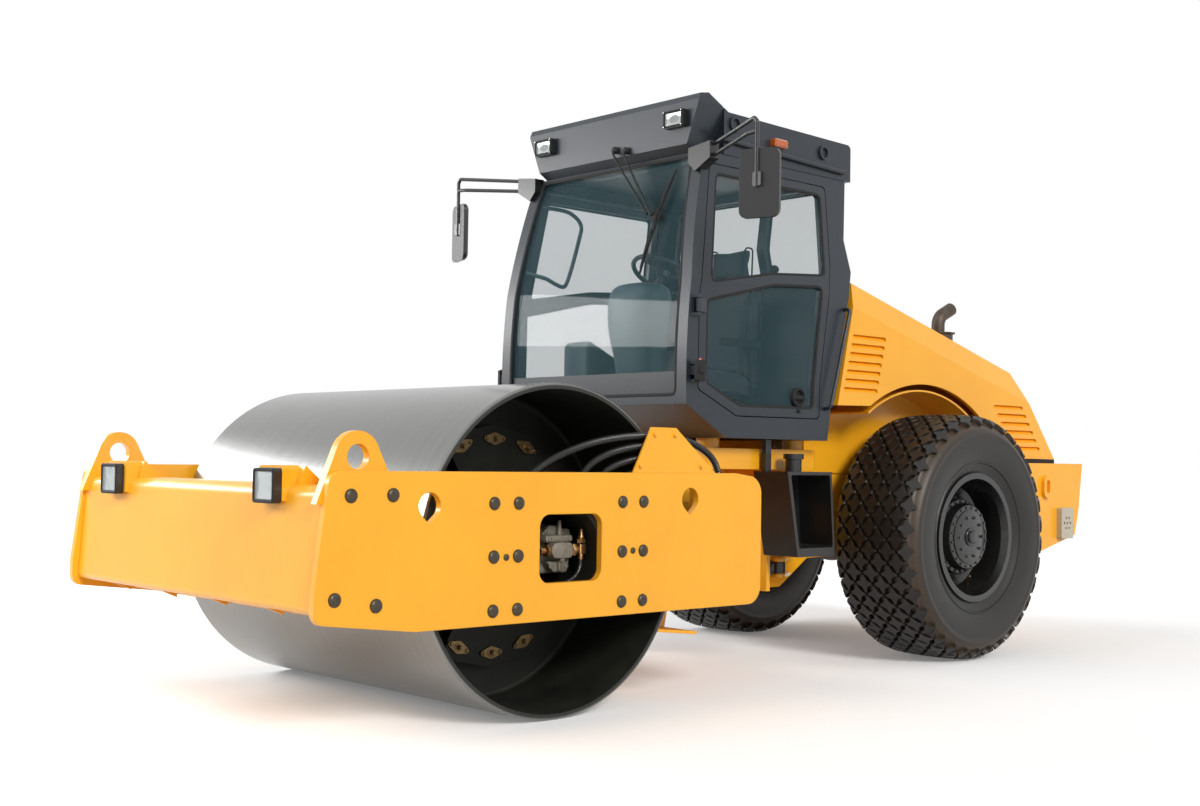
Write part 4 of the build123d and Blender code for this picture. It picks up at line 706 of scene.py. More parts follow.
def build_hub(side, name):
    """The planetary cover with its bolts, flange and plug, and the valve."""
    out = (0, side, 0)
    face = side * RIM_FACE
    hub = Shape()
    form = lathe([(0.262, 0.0), (0.262, 0.016), (0.256, 0.022), (0.238, 0.024), (0.234, 0.030), (0.230, 0.110),
                  (0.224, 0.118), (0.206, 0.121), (0.202, 0.126), (0.199, 0.168), (0.192, 0.177),
                  (0.166, 0.180), (0.164, 0.187), (0.158, 0.190), (0.060, 0.191)], 96)
    hub.put(form, basis((AXLE_X, face, TYRE_R), out))
    top = basis((AXLE_X, face + side * 0.190, TYRE_R), out)
    form = lathe([(0.056, 0.0), (0.056, 0.008), (0.052, 0.012), (0.040, 0.012), (0.040, 0.020),
                  (0.034, 0.027), (0.018, 0.029), (0.0, 0.029)], 40)
    hub.put(form, top)
    hub.build(f"hub_cover_{name}", f"wheel_{name}", "rim_paint")
    studs = Shape()

    def circle(radius, count, depth, shift=0.0):
        return [(AXLE_X + radius * math.cos(2 * math.pi * (k + shift) / count), face + side * depth,
                 TYRE_R + radius * math.sin(2 * math.pi * (k + shift) / count)) for k in range(count)]
    bolts_at(studs, circle(0.215, 24, 0.120), out, 0.0078, 0.010)
    bolts_at(studs, circle(0.180, 20, 0.178, 0.5), out, 0.0075, 0.009, washer=False)
    bolts_at(studs, circle(0.122, 10, 0.190), out, 0.0095, 0.010)
    bolts_at(studs, circle(0.300, 20, 0.0, 0.5), out, 0.012, 0.016)
    studs.build(f"hub_bolts_{name}", f"wheel_{name}", "rim_paint")
    valve = Shape()
    angle = math.radians(-118)
    root = np.array((AXLE_X + 0.325 * math.cos(angle), face, TYRE_R + 0.325 * math.sin(angle)))
    tip = root + np.array((0.02, side * 0.085, 0.03))
    valve.put(tube(smooth_route([root, root + (0, side * 0.05, 0), tip, tip + (0.004, side * 0.02, 0.008)], 3),
                   0.005, 10))
    valve.build(f"valve_{name}", f"wheel_{name}", "brass", "zinc")


for side, name in SIDES:
    build_hub(side, name)


# ---- Drum frame


def axle_x(points):
    """Places ahead of the axle and heights, as places of the frame."""
    return [(x + AXLE_X, z) for x, z in points]


def build_plate_bolts():
    """The round-headed plugs and screws of both side plates."""
    big = axle_x([(4.463, 1.024), (4.263, 1.026), (4.53, 0.614), (4.336, 0.581)]
                 + [(x, z) for x in (3.74, 3.605, 2.983, 2.848) for z in (0.987, 0.757, 0.525)])
    small = axle_x([(3.671, 0.753), (2.914, 0.759)])
    for side, name in SIDES:
        shape = Shape()
        domes_at(shape, [(x, side * PLATE_Y, z) for x, z in big], (0, side, 0), 0.029, 0.014)
        domes_at(shape, [(x, side * PLATE_Y, z) for x, z in small], (0, side, 0), 0.015, 0.009)
        shape.build(f"plate_bolts_{name}", "drum_frame", "bolt_steel", "dark_steel")
    guard = Shape()
    y = PLATE_Y + 0.002
    screws = [(DRUM_X - 0.425, 1.155), (DRUM_X - 0.52, 1.305), (DRUM_X - 0.655, 1.305), (DRUM_X - 0.84, 1.155)]
    domes_at(guard, [(x, y + 0.006, z) for x, z in screws], (0, 1, 0), 0.010, 0.006, 20)
    guard.build("guard_screws", "drum_frame", "yellow_paint")


build_plate_bolts()

# Each hose from its port, past its places ahead of the axle and heights, to the block it ends on
HOSE_ROUTES = (
    (3.600, (3.460, 1.136), (3.290, 1.215), (3.060, 1.277), (2.780, 1.303), (2.520, 1.290),
     (2.345, 1.226), (2.268, 1.140), 2.262),
    (3.250, (3.176, 1.134), (3.060, 1.202), (2.880, 1.245), (2.680, 1.254), (2.500, 1.228),
     (2.375, 1.160), 2.325),
    (3.130, (3.066, 1.117), (2.955, 1.166), (2.800, 1.195), (2.640, 1.194), (2.500, 1.160), 2.388),
    (3.015, (2.950, 1.096), (2.830, 1.131), (2.690, 1.142), (2.560, 1.124), 2.432))


def spline_line(points, name):
    """Points along the smooth spline that has the given points as its control points."""
    data = bpy.data.curves.new(name, "CURVE")
    data.dimensions = "3D"
    spline = data.splines.new("NURBS")
    spline.points.add(len(points) - 1)
    for point, place in zip(spline.points, points):
        point.co = (*place, 1.0)
    spline.order_u = 3
    spline.use_endpoint_u = True
    spline.resolution_u = 12
    holder = bpy.data.objects.new(name, data)
    bpy.context.scene.collection.objects.link(holder)
    mesh = bpy.data.meshes.new_from_object(holder)
    line = np.array([tuple(v.co) for v in mesh.vertices])
    bpy.data.objects.remove(holder)
    bpy.data.meshes.remove(mesh)
    bpy.data.curves.remove(data)
    return line


def hose_end(shape, end, near, radius=0.0185, length=0.052):
    """A crimped ferrule on a hose's end."""
    away = np.asarray(near) - np.asarray(end)
    profile = [(radius * 0.86, 0.0), (radius, 0.004), (radius, length - 0.006), (radius * 0.86, length)]
    shape.put(lathe(profile, 20), basis(end, away, (0, 1, 0)))


HOSE_Y = 1.09
HOSE_RADIUS = 0.0145
PORT_Z = 1.030
BLOCK_Z = 1.052


def build_hoses():
    """The hoses with their black spiral guards and crimped ends."""
    cores, guards, ends = Shape(), Shape(), Shape()
    for number, route in enumerate(HOSE_ROUTES):
        places = [(route[0], PORT_Z), *route[1:-1], (route[-1], BLOCK_Z)]
        line = spline_line([(x + AXLE_X, HOSE_Y, z) for x, z in places], f"hose_route_{number}")
        cores.put(tube(line, HOSE_RADIUS, 14))
        guards.put(coil(line, 0.0155, 0.0032, 0.0135, 6))
        hose_end(ends, line[-1], line[-4])
        hose_end(ends, line[0], line[3])
    piece = cores.build("hose_cores", "drum_frame", "black_rubber")
    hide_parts("hoses")
    guards.build("hose_guards_spiral", "drum_frame", "spiral_guard", "black_rubber")
    ends.build("hose_ferrules", "drum_frame", "zinc")


build_hoses()


MOTOR_X = 3.262
MOTOR_Z = 0.765
ELBOW_Y = 1.030
# The motor's raised forms: outline round its middle, depth of the foot, height, bevel and corner radius
MOTOR_FORMS = (
    ([(0.10, -0.11), (-0.097, -0.11), (-0.112, -0.035), (-0.112, 0.095), (0.10, 0.095)],
     0.83, 0.145, 0.010, 0.02),
    ([(0.083, 0.035), (-0.080, 0.035), (-0.080, 0.069), (0.083, 0.069)], 0.965, 0.065, 0.010, 0.014),
    ([(0.090, 0.067), (0.038, 0.115), (-0.032, 0.107), (-0.056, 0.067)], 0.965, 0.035, 0.006, 0.01),
    ([(0.068, -0.050), (0.028, -0.100), (-0.034, -0.103), (-0.072, -0.050)], 0.965, 0.055, 0.006, 0.008),
    ([(0.006, -0.050), (0.006, -0.096), (-0.018, -0.096), (-0.018, -0.050)], 1.015, 0.018, 0.006, 0.004),
    ([(0.066, 0.012), (0.050, 0.034), (0.0, 0.037), (-0.050, 0.034), (-0.066, 0.012), (-0.066, -0.012),
      (-0.050, -0.034), (0.0, -0.037), (0.050, -0.034), (0.066, -0.012)], 1.005, 0.050, 0.004, 0.012))


def build_motor_fittings():
    """What the windows of the side plates show: the motor's cast block with its oval cap, elbows and hoses."""
    for side, name in SIDES:
        cast, brass, rubber_parts = Shape(), Shape(), Shape()

        def at(ahead, up, depth, normal=(0, side, 0), lift=(0, 0, 1)):
            return basis((ahead + AXLE_X, side * depth, up), normal, lift)

        for points, foot, height, bevel, radius in MOTOR_FORMS:
            outline = rounded_outline(anticlockwise([(-side * dx, dz) for dx, dz in points]), radius, 4)
            cast.put(prism(outline, height, bevel, foot), at(MOTOR_X, MOTOR_Z, 0.0))
        form = lathe([(0.012, 0.0), (0.012, 0.024), (0.007, 0.026), (0.007, 0.030), (0.0, 0.030)], 18)
        cast.put(form, at(MOTOR_X - 0.007, MOTOR_Z - 0.043, 1.018))
        form = lathe([(0.010, 0.0), (0.010, 0.062), (0.006, 0.070), (0.0, 0.070)], 16)
        cast.put(form, at(MOTOR_X - 0.012, MOTOR_Z + 0.065, 1.010, (0, 0, 1), (0, 1, 0)))
        for dx, dz, depth in ((0.044, -0.074, 1.012), (-0.048, -0.074, 1.012), (0.060, 0.085, 0.992),
                              (0.060, 0.052, 1.022), (-0.060, 0.052, 1.022), (0.085, -0.09, 0.968)):
            form = lathe([(0.011, 0.0), (0.011, 0.012), (0.008, 0.013), (0.006, 0.009), (0.0, 0.009)], 14)
            cast.put(form, at(MOTOR_X + dx, MOTOR_Z + dz, depth))

        for direction in (1, -1):
            profile = [(0.016, 0.0), (0.016, 0.010), (0.028, 0.012), (0.031, 0.016), (0.031, 0.030),
                       (0.026, 0.034), (0.015, 0.036), (0.015, 0.062), (0.0, 0.062)]
            brass.put(lathe(profile, 6), at(MOTOR_X + direction * 0.056, MOTOR_Z, ELBOW_Y, (direction, 0, 0)))
        corner = MOTOR_X - 0.129
        elbow = at(corner, MOTOR_Z + 0.003, ELBOW_Y, (0, 0, 1), (0, 1, 0))
        brass.put(prism(rectangle(0.040, 0.036, 0.008, 3), 0.044, 0.004, -0.022), elbow)
        brass.put(prism(hexagon(0.022), 0.020, 0.003, 0.026), elbow)
        form = lathe([(0.010, 0.044), (0.015, 0.052), (0.015, 0.058), (0.012, 0.062), (0.009, 0.088),
                      (0.005, 0.092), (0.0, 0.092)], 20)
        brass.put(form, elbow)

        hose = [(corner, 1.030, 0.748), (corner + 0.001, 1.032, 0.705), (corner + 0.014, 1.035, 0.665),
                (corner + 0.050, 1.035, 0.630), (corner + 0.100, 1.03, 0.612), (MOTOR_X, 1.01, 0.604),
                (MOTOR_X + 0.050, 0.97, 0.602), (MOTOR_X + 0.070, 0.92, 0.602)]
        line = spline_line([(x + AXLE_X, side * y, z) for x, y, z in hose], f"motor_hose_route_{name}")
        rubber_parts.put(tube(line, 0.009, 14))
        rubber_parts.put(coil(line[4:], 0.0098, 0.0022, 0.011, 6))
        hose_end(brass, line[0], line[2], 0.0125, 0.030)
        hose_end(brass, line[-1], line[-3], 0.0125, 0.050)
        cast.build(f"motor_block_{name}", "drum_frame", "cast_metal", angle=30.0)
        brass.build(f"motor_elbows_{name}", "drum_frame", "brass", "zinc")
        rubber_parts.build(f"motor_hose_{name}", "drum_frame", "spiral_guard", "black_rubber")


build_motor_fittings()


def lamp_front(shapes, at, outer, inner, corner, ribs):
    """A lamp's rounded frame, its dished reflector and its ribbed lens."""
    frames, mirrors, lenses = shapes
    rim = rectangle(*outer, corner)
    hole = rectangle(*inner, corner * 0.6)
    rings = [(rim, -0.004), (inset_outline(rim, 0.002), 0.003), (inset_outline(rim, 0.006), 0.0052),
             (inset_outline(hole, -0.003), 0.0045), (hole, 0.001), (hole, -0.010)]
    rings = [lifted(ring, z) for ring, z in rings]
    frames.put((np.concatenate(rings), walls(len(rings), len(rim), closed=True)), at)
    half_width, half_height = inner[0] / 2 - 0.002, inner[1] / 2 - 0.002
    rows, cols = 13, 17
    grid = []
    for back in (0.0, -0.0008):
        for v in np.linspace(-1, 1, rows):
            for u in np.linspace(-1, 1, cols):
                grid.append((u * half_width, v * half_height, back - 0.0120 + 0.007 * (u * u + v * v) / 2))
    mirrors.put((grid, sheet(rows, cols)), at)
    pane = []
    for j in range(ribs * 2 + 1):
        x = (j / (ribs * 2) * 2 - 1) * half_width
        rise = (0.0022 if j % 2 else 0.0) - 0.0005
        pane.append([(x, -half_height, rise), (x, half_height, rise), (x, half_height, -0.004),
                     (x, -half_height, -0.004)])
    lenses.put(capped(pane), at)


WORK_LAMP_Y = 0.544
WORK_LAMP_Z = 3.030


def build_lamps():
    """The fronts of the headlamps on the drum frame and of the work lamps on the visor."""
    front = (Shape(), Shape(), Shape())
    roof = (Shape(), Shape(), Shape())
    screws = Shape()
    for side in (1, -1):
        lamp_front(front, basis((DRUM_X + 1.316, side * 0.733, 1.056), (1, 0, 0)),
                   (0.170, 0.146), (0.142, 0.118), 0.016, 22)
        lamp_front(roof, basis((AXLE_X + 2.0845, side * WORK_LAMP_Y, WORK_LAMP_Z), (1, 0, 0)),
                   (0.146, 0.092), (0.122, 0.070), 0.010, 16)
        for dy in (-0.066, 0.066):
            for dz in (-0.039, 0.039):
                form = lathe([(0.004, 0.0), (0.004, 0.002), (0.0025, 0.003), (0.0, 0.003)], 12)
                screws.put(form, basis((AXLE_X + 2.0895, side * WORK_LAMP_Y + dy, WORK_LAMP_Z + dz), (1, 0, 0)))
    for (frames, mirrors, lenses), name, body in ((front, "headlamp", "drum_frame"),
                                                  (roof, "work_lamp", "tractor")):
        frames.build(f"{name}_frames", body, "black_rubber", angle=60.0)
        mirrors.build(f"{name}_reflectors", body, "chrome", "chrome_rod")
        lenses.build(f"{name}_lenses", body, "lamp_glass", angle=20.0)
    screws.build("work_lamp_screws", "tractor", "chrome", "chrome_rod")


build_lamps()


ISOLATOR_R = 0.510
ISOLATOR_FACE = 0.590


def build_isolator_bolts():
    """The bolts at both ends of each isolator's diamond flange, and the stud in its nut."""
    bolts = Shape()
    for side in (1, -1):
        for group in range(4):
            for step in (-1, 0, 1):
                turn = math.radians(group * 90.0 + step * 22.5)
                outward = np.array((math.cos(turn), 0.0, math.sin(turn)))
                along = np.array((-math.sin(turn), 0.0, math.cos(turn)))
                centre = np.array((DRUM_X, side * ISOLATOR_FACE, DRUM_R)) + ISOLATOR_R * outward
                bolts_at(bolts, [centre + 0.050 * along, centre - 0.050 * along], (0, side, 0), 0.0085, 0.009)
                form = lathe([(0.0235, 0.0), (0.0235, 0.003), (0.010, 0.004), (0.010, 0.022), (0.008, 0.024),
                              (0.0, 0.024)], 20)
                bolts.put(form, basis(centre, (0, side, 0)))
    bolts.build("isolator_bolts", "drum", "zinc")


build_isolator_bolts()


# ---- Hood

# Rows of slots: how many, the top and the lowest one's front end, and their length
LOUVRES = ((7, (0.800, 1.925), (0.879, 1.612), 0.320), (6, (-0.690, 1.565), (-0.905, 1.296), 0.350))
HOOD_HALF = 0.780


def build_hood_details():
    """The slanted fin in each louvre slot, and the rubber strip under the hood's foot."""
    fins = Shape()
    for count, top, foot, length in LOUVRES:
        for row in range(count):
            share = row / (count - 1)
            z = (top[1] - foot[1]) * (1 - share) + foot[1]
            x = top[0] + (foot[0] - top[0]) * share - length / 2 + AXLE_X
            for side in (1, -1):
                outer, inner = HOOD_HALF - 0.001, HOOD_HALF - 0.026
                section = [(outer, z - 0.0135), (outer, z - 0.0105), (inner, z + 0.0165), (inner, z + 0.0135)]
                half = length / 2 - 0.006
                ends = [[(x + end, side * y, h) for y, h in section] for end in (-side * half, side * half)]
                fins.put(capped(ends))
    fins.build("louvre_fins", "hood", "yellow_paint")
    strip = Shape()
    depth, foot = 0.0285, 1.2005
    for side in (1, -1):
        strip.put(prism(rectangle(0.640, 0.030, 0.004, 2), depth, 0.0, foot), upright(-1.095, side * 0.765))
    strip.put(prism(rectangle(0.030, 1.560, 0.004, 2), depth, 0.0, foot), upright(-1.430))
    strip.build("hood_strip", "tractor", "black_rubber")


build_hood_details()


# ---- Cab


CAB_HALF = 0.770
# The windscreen's curve through heights and distances ahead of the axle
SCREEN = ((1.480, 2.180), (2.180, 2.150), (2.850, 2.000))


def cab_y(z):
    """How far to the side the cab's wall stands at height z."""
    return CAB_HALF - max(0.0, z - 2.150) * 0.070 / 0.710


def screen_x(z):
    """How far ahead of the axle the windscreen's face stands at height z."""
    (z0, x0), (z1, x1), (z2, x2) = SCREEN
    return (x0 * (z - z1) * (z - z2) / ((z0 - z1) * (z0 - z2))
            + x1 * (z - z0) * (z - z2) / ((z1 - z0) * (z1 - z2))
            + x2 * (z - z0) * (z - z1) / ((z2 - z0) * (z2 - z1)))


def rear_x(z):
    """How far ahead of the axle the cab's rear face stands at height z."""
    return float(np.interp(z, [2.305, 2.49, 2.85], [0.796, 0.844, 0.795]))


# Window openings: places ahead of the axle and heights, then places across and heights
UPPER_PANE = [(2.005, 2.135), (1.915, 2.735), (1.035, 2.735), (1.040, 2.260), (1.500, 2.225)]
LOWER_PANE = [(2.035, 1.600), (2.030, 2.040), (1.500, 2.165), (1.070, 2.195), (1.140, 1.640), (1.145, 1.490),
              (1.770, 1.485)]
SCREEN_OUTLINE = [(-0.690, 1.530), (0.690, 1.530), (0.690, 2.150), (0.620, 2.830), (-0.620, 2.830),
                  (-0.690, 2.150)]
REAR_PANES = ((-0.620, 0.095), (0.155, 0.620))


def closed_line(points, radius, step=0.03):
    """An outline with rounded corners, as even steps without its last point."""
    ring = rounded_outline(points, radius, 5)
    return even_steps(np.vstack([ring, ring[:1]]), step)[:-1]


def build_cab_seals():
    """The rubber seals round every pane, and the black bands at the windscreen's edges."""
    for side, name in SIDES:
        seals = Shape()
        for outline in (UPPER_PANE, LOWER_PANE):
            ring = closed_line(outline, 0.030)
            path = [(x + AXLE_X, side * (cab_y(z) - 0.004), z) for x, z in ring]
            seals.put(tube(path, 0.0095, 8, closed=True, flat=0.6, up=(0, 1, 0)))
        seals.build(f"door_seals_{name}", f"door_{name}", "black_rubber")
    seals = Shape()
    ring = closed_line(SCREEN_OUTLINE, 0.030)
    seals.put(tube([(screen_x(z) + AXLE_X - 0.003, y, z) for y, z in ring], 0.010, 8, closed=True, flat=0.6,
                   up=(1, 0, 0)))
    for low, high in REAR_PANES:
        ring = closed_line([(low, 2.300), (high, 2.300), (high, 2.800), (low, 2.800)], 0.030)
        seals.put(tube([(rear_x(z) + AXLE_X + 0.003, y, z) for y, z in ring], 0.009, 8, closed=True, flat=0.6,
                       up=(1, 0, 0)))
    seals.build("window_seals", "tractor", "black_rubber")
    band = Shape()
    levels = np.linspace(1.532, 1.655, 6)
    grid = [(screen_x(z) + AXLE_X - depth, y, z) for depth in (0.0135, 0.0150) for z in levels
            for y in (-0.688, 0.688)]
    band.put((grid, sheet(len(levels), 2)))
    band.build("screen_band", "tractor", "dash_plastic", "black_paint")


build_cab_seals()


LATCH_X = 1.275
HINGE_X = 2.136
HINGE_Z = 1.655
MIRROR_TURN = math.radians(18.0)


def build_cab_trim():
    """Hinge covers, latches, the inner grab handle, the rear window's knobs, the wiper and the mirror faces."""
    for side, name in SIDES:
        latch = Shape()
        at = basis((AXLE_X + LATCH_X, side * 0.748, 1.549), (0, side, 0))
        cup = [(0.052, 0.0), (0.054, 0.020), (0.054, 0.026), (0.050, 0.030), (0.042, 0.030), (0.039, 0.024),
               (0.036, 0.010), (0.0, 0.008)]
        latch.put(lathe(cup, 48), at)
        latch.put(prism(rectangle(0.086, 0.024, 0.010, 4), 0.016, 0.004, 0.010), at)
        form = lathe([(0.011, 0.0), (0.011, 0.030), (0.009, 0.032), (0.0, 0.032)], 24)
        latch.put(form, basis((AXLE_X + LATCH_X, side * 0.748, 1.470), (0, side, 0)))
        latch.build(f"door_latch_{name}", f"door_{name}", "black_rubber")
        cover = Shape()
        at = basis((AXLE_X + 2.150, side * CAB_HALF, HINGE_Z), (0, side, 0))
        cover.put(prism(rectangle(0.024, 0.050, 0.004, 3), 0.045, 0.0, -0.004), at)
        form = prism(rectangle(0.060, 0.112, 0.010, 4), 0.024, 0.006, 0.042)
        cover.put(form, basis((AXLE_X + HINGE_X, side * CAB_HALF, HINGE_Z), (0, side, 0)))
        form = prism(rectangle(0.044, 0.030, 0.006, 4), 0.010, 0.003, 0.064)
        cover.put(form, basis((AXLE_X + HINGE_X, side * CAB_HALF, HINGE_Z), (0, side, 0)))
        cover.build(f"hinge_cover_{name}", "tractor", "black_rubber")
        dot = Shape()
        form = lathe([(0.008, 0.0), (0.008, 0.006), (0.005, 0.010), (0.0, 0.011)], 16)
        dot.put(form, basis((AXLE_X + HINGE_X, side * (CAB_HALF + 0.054), 1.7105), (0, 0, 1), (0, 1, 0)))
        dot.build(f"hinge_button_{name}", "tractor", "red_lens", "amber_lens")
    handles = Shape()
    loop = [(2.085, -0.712, 2.300), (2.007, -0.690, 2.285), (1.930, -0.672, 2.272), (1.903, -0.668, 2.258),
            (1.830, -0.664, 2.232), (1.790, -0.664, 2.232), (1.764, -0.664, 2.280), (1.721, -0.660, 2.411),
            (1.680, -0.656, 2.560), (1.668, -0.654, 2.610), (1.690, -0.654, 2.650), (1.740, -0.654, 2.680),
            (1.792, -0.654, 2.696), (1.880, -0.658, 2.700), (1.960, -0.676, 2.700), (2.020, -0.690, 2.698)]
    line = spline_line([(x + AXLE_X, y, z) for x, y, z in loop], "grab_route")
    handles.put(tube(line, 0.0125, 14))
    handles.build("grab_handle", "tractor", "console_plastic")
    knobs = Shape()
    for y, z in ((0.22, 2.360), (0.22, 2.740), (-0.560, 2.360), (-0.560, 2.740)):
        form = lathe([(0.010, 0.0), (0.010, 0.018), (0.024, 0.020), (0.026, 0.026), (0.026, 0.040),
                      (0.022, 0.046), (0.0, 0.047)], 28)
        knobs.put(form, basis((AXLE_X + rear_x(z) + 0.020, y, z), (1, 0, 0)))
    knobs.build("window_knobs", "tractor", "black_rubber")

    wiper = Shape()
    heads = ((0.060, 2.930), (0.150, 2.915))
    feet = ((0.405, 2.520), (0.440, 2.510))
    for (hy, hz), (fy, fz) in zip(heads, feet):
        run = [(AXLE_X + 2.040, hy, hz), (AXLE_X + 2.075, hy, hz - 0.010),
               (AXLE_X + 2.088, hy + 0.02, hz - 0.040), (AXLE_X + 2.118, (hy + fy) / 2, (hz + fz) / 2),
               (AXLE_X + 2.134, fy, fz)]
        line = spline_line(run, "wiper_route")
        wiper.put(tube(line, 0.0065, 10, flat=1.6))
    for hy, hz in heads:
        form = lathe([(0.020, 0.0), (0.020, 0.022), (0.015, 0.028), (0.0, 0.030)], 20)
        wiper.put(form, basis((AXLE_X + 2.044, hy, hz), (1, 0, 0)))
    top, bottom = np.array((0.524, 2.767)), np.array((0.372, 2.195))
    along = (top - bottom) / np.linalg.norm(top - bottom)
    middle = (top + bottom) / 2

    def on_screen(y, z, off):
        return (AXLE_X + screen_x(z) + off, y, z)

    blade = [on_screen(*(bottom + along * t), 0.004) for t in np.linspace(0, 0.592, 16)]
    wiper.put(tube(blade, 0.0065, 8, up=(1, 0, 0)))
    spine = [on_screen(*(bottom + along * t), 0.010 + 0.014 * math.sin(math.pi * (t - 0.03) / 0.532))
             for t in np.linspace(0.03, 0.562, 20)]
    wiper.put(tube(spine, 0.0060, 8, up=(1, 0, 0), flat=0.7))
    for t in (0.08, 0.20, 0.39, 0.51):
        a = on_screen(*(bottom + along * t), 0.004)
        b = on_screen(*(bottom + along * (t + (0.05 if t < 0.3 else -0.05))), 0.020)
        wiper.put(tube([a, b], 0.0045, 8))
    hub = on_screen(middle[0] - 0.012, middle[1] + 0.03, -0.006)
    form = prism([(-0.034, -0.020), (0.030, -0.030), (0.044, 0.0), (0.020, 0.030), (-0.030, 0.024)], 0.022,
                 0.005, 0.004)
    wiper.put(form, basis(hub, (1, 0, 0)))
    piece = wiper.build("wiper", "tractor", "black_rubber")
    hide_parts("wipers")

    faces_of_mirrors = Shape()
    for side in (1, -1):
        back = (-math.cos(MIRROR_TURN), -side * math.sin(MIRROR_TURN), 0)
        centre = np.array((AXLE_X + 2.180, side * 1.252, 2.580)) + 0.0418 * np.array(back)
        faces_of_mirrors.put(prism(rectangle(0.180, 0.310, 0.030, 5), 0.0012, 0.0004), basis(centre, back))
    faces_of_mirrors.build("mirror_faces", "tractor", "chrome", "chrome_rod")


build_cab_trim()


# ---- Seat and consoles


VOXEL = 0.010
SHRINK = 0.010
SWELL_CAP = 0.012
CLOTH_FRAMES = 16


def settled(name, verts, faces):
    """A closed form remeshed, drawn in a little and blown out as cloth, with no point moved past the cap."""
    scene = bpy.context.scene
    mesh = bpy.data.meshes.new(name)
    mesh.from_pydata([tuple(v) for v in verts], [], faces)
    piece = bpy.data.objects.new(name, mesh)
    scene.collection.objects.link(piece)

    def applied():
        """The mesh as the modifiers leave it, which then replaces the piece's own."""
        bpy.context.view_layer.update()
        result = bpy.data.meshes.new_from_object(piece.evaluated_get(bpy.context.evaluated_depsgraph_get()))
        piece.modifiers.clear()
        piece.data = result
        return result, np.array([tuple(v.co) for v in result.vertices])

    remesh = piece.modifiers.new("remesh", "REMESH")
    remesh.mode = "VOXEL"
    remesh.voxel_size = VOXEL
    smooth = piece.modifiers.new("smooth", "SMOOTH")
    smooth.factor = 0.6
    smooth.iterations = 5
    fine, start = applied()
    start = start - np.array([tuple(v.normal) for v in fine.vertices]) * SHRINK
    fine.vertices.foreach_set("co", start.ravel())
    cloth = piece.modifiers.new("cloth", "CLOTH")
    cloth.settings.quality = 5
    cloth.settings.mass = 0.3
    cloth.settings.use_pressure = True
    cloth.settings.uniform_pressure_force = 4.0
    cloth.settings.effector_weights.gravity = 0.0
    cloth.settings.tension_stiffness = 12.0
    cloth.settings.compression_stiffness = 12.0
    cloth.settings.bending_stiffness = 0.6
    cloth.point_cache.frame_start, cloth.point_cache.frame_end = 1, CLOTH_FRAMES
    for frame_number in range(1, CLOTH_FRAMES + 1):
        scene.frame_set(frame_number)
    puffed, end = applied()
    move = end - start
    length = np.linalg.norm(move, axis=1, keepdims=True) + 1e-9
    puffed.vertices.foreach_set("co", (start + move * np.minimum(1.0, SWELL_CAP / length)).ravel())
    scene.frame_set(1)
    puffed.polygons.foreach_set("use_smooth", [True] * len(puffed.polygons))
    return piece


def cushion(name, outline, half_width, radius=0.03):
    """A stuffed cushion over a side outline (x, z), with the piping round both of its side edges."""
    ring = rounded_outline(outline, radius, 4)
    verts, faces = across(ring, 2 * half_width, 0.0, -half_width)
    piece = settled(name, verts, faces)
    piece.data.materials.append(MATS["seat_fabric"])
    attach(piece, "tractor")
    centre = np.mean(ring, axis=0)
    piping = Shape()
    for end in (-1, 1):
        loop = [(x + AXLE_X, end * (half_width - 0.004), z)
                for x, z in closed_line([tuple(centre + (p - centre) * 0.985) for p in ring], 0.004, 0.012)]
        piping.put(tube(loop, 0.005, 8, closed=True))
    piping.build(f"{name}_piping", "tractor", "black_rubber")
    return piece


def build_seat():
    """The driver's seat: stuffed cushion, back and headrest, armrests, and the folded bellows below."""
    low = CAB_FLOOR
    base = cushion("seat_cushion", [(1.060, low + 0.222), (1.540, low + 0.242), (1.550, low + 0.340),
                                    (1.500, low + 0.372), (1.060, low + 0.348)], 0.243)
    back = cushion("seat_back", [(1.065, low + 0.302), (1.160, low + 0.345), (1.085, low + 0.870),
                                 (1.000, low + 0.886), (0.978, low + 0.860), (1.008, low + 0.302)], 0.232)
    head = cushion("seat_headrest", [(0.985, low + 0.932), (1.063, low + 0.927), (1.048, low + 1.128),
                                     (0.977, low + 1.133)], 0.148, radius=0.026)
    for pad in (base, back, head):
        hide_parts("seat")
    rests = Shape()
    for side in (1, -1):
        form = prism(rectangle(0.326, 0.052, 0.024, 6), 0.046, 0.010, low + 0.508)
        rests.put(form, upright(1.225, side * 0.272))
        rests.put(prism(rectangle(0.050, 0.018, 0.006, 3), 0.26, 0.0, low + 0.27),
                  upright(1.085, side * 0.256))
    rests.build("armrests", "tractor", "black_rubber")
    posts = Shape()
    for y in (-0.07, 0.07):
        posts.put(tube([(AXLE_X + 1.035, y, low + 0.84), (AXLE_X + 1.020, y, low + 0.96)], 0.006, 12))
    posts.build("headrest_posts", "tractor", "chrome", "chrome_rod")
    bellows = Shape()
    folds = 7
    outer = rectangle(0.398, 0.398, 0.030, 4)
    rings = [lifted(outer, low), lifted(outer, low + 0.022)]
    for k in range(2 * folds + 1):
        fold = inset_outline(rectangle(0.390, 0.390, 0.050, 4), 0.002 if k % 2 else 0.016)
        rings.append(lifted(fold, low + 0.028 + 0.19 * k / (2 * folds)))
    bellows.put(capped(rings), upright(1.270))
    piece = bellows.build("seat_bellows", "tractor", "black_rubber")
    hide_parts("seat")


build_seat()


LEVER_X = 1.42
LEVER_Y = -0.49
LEVER_LEAN = 0.02


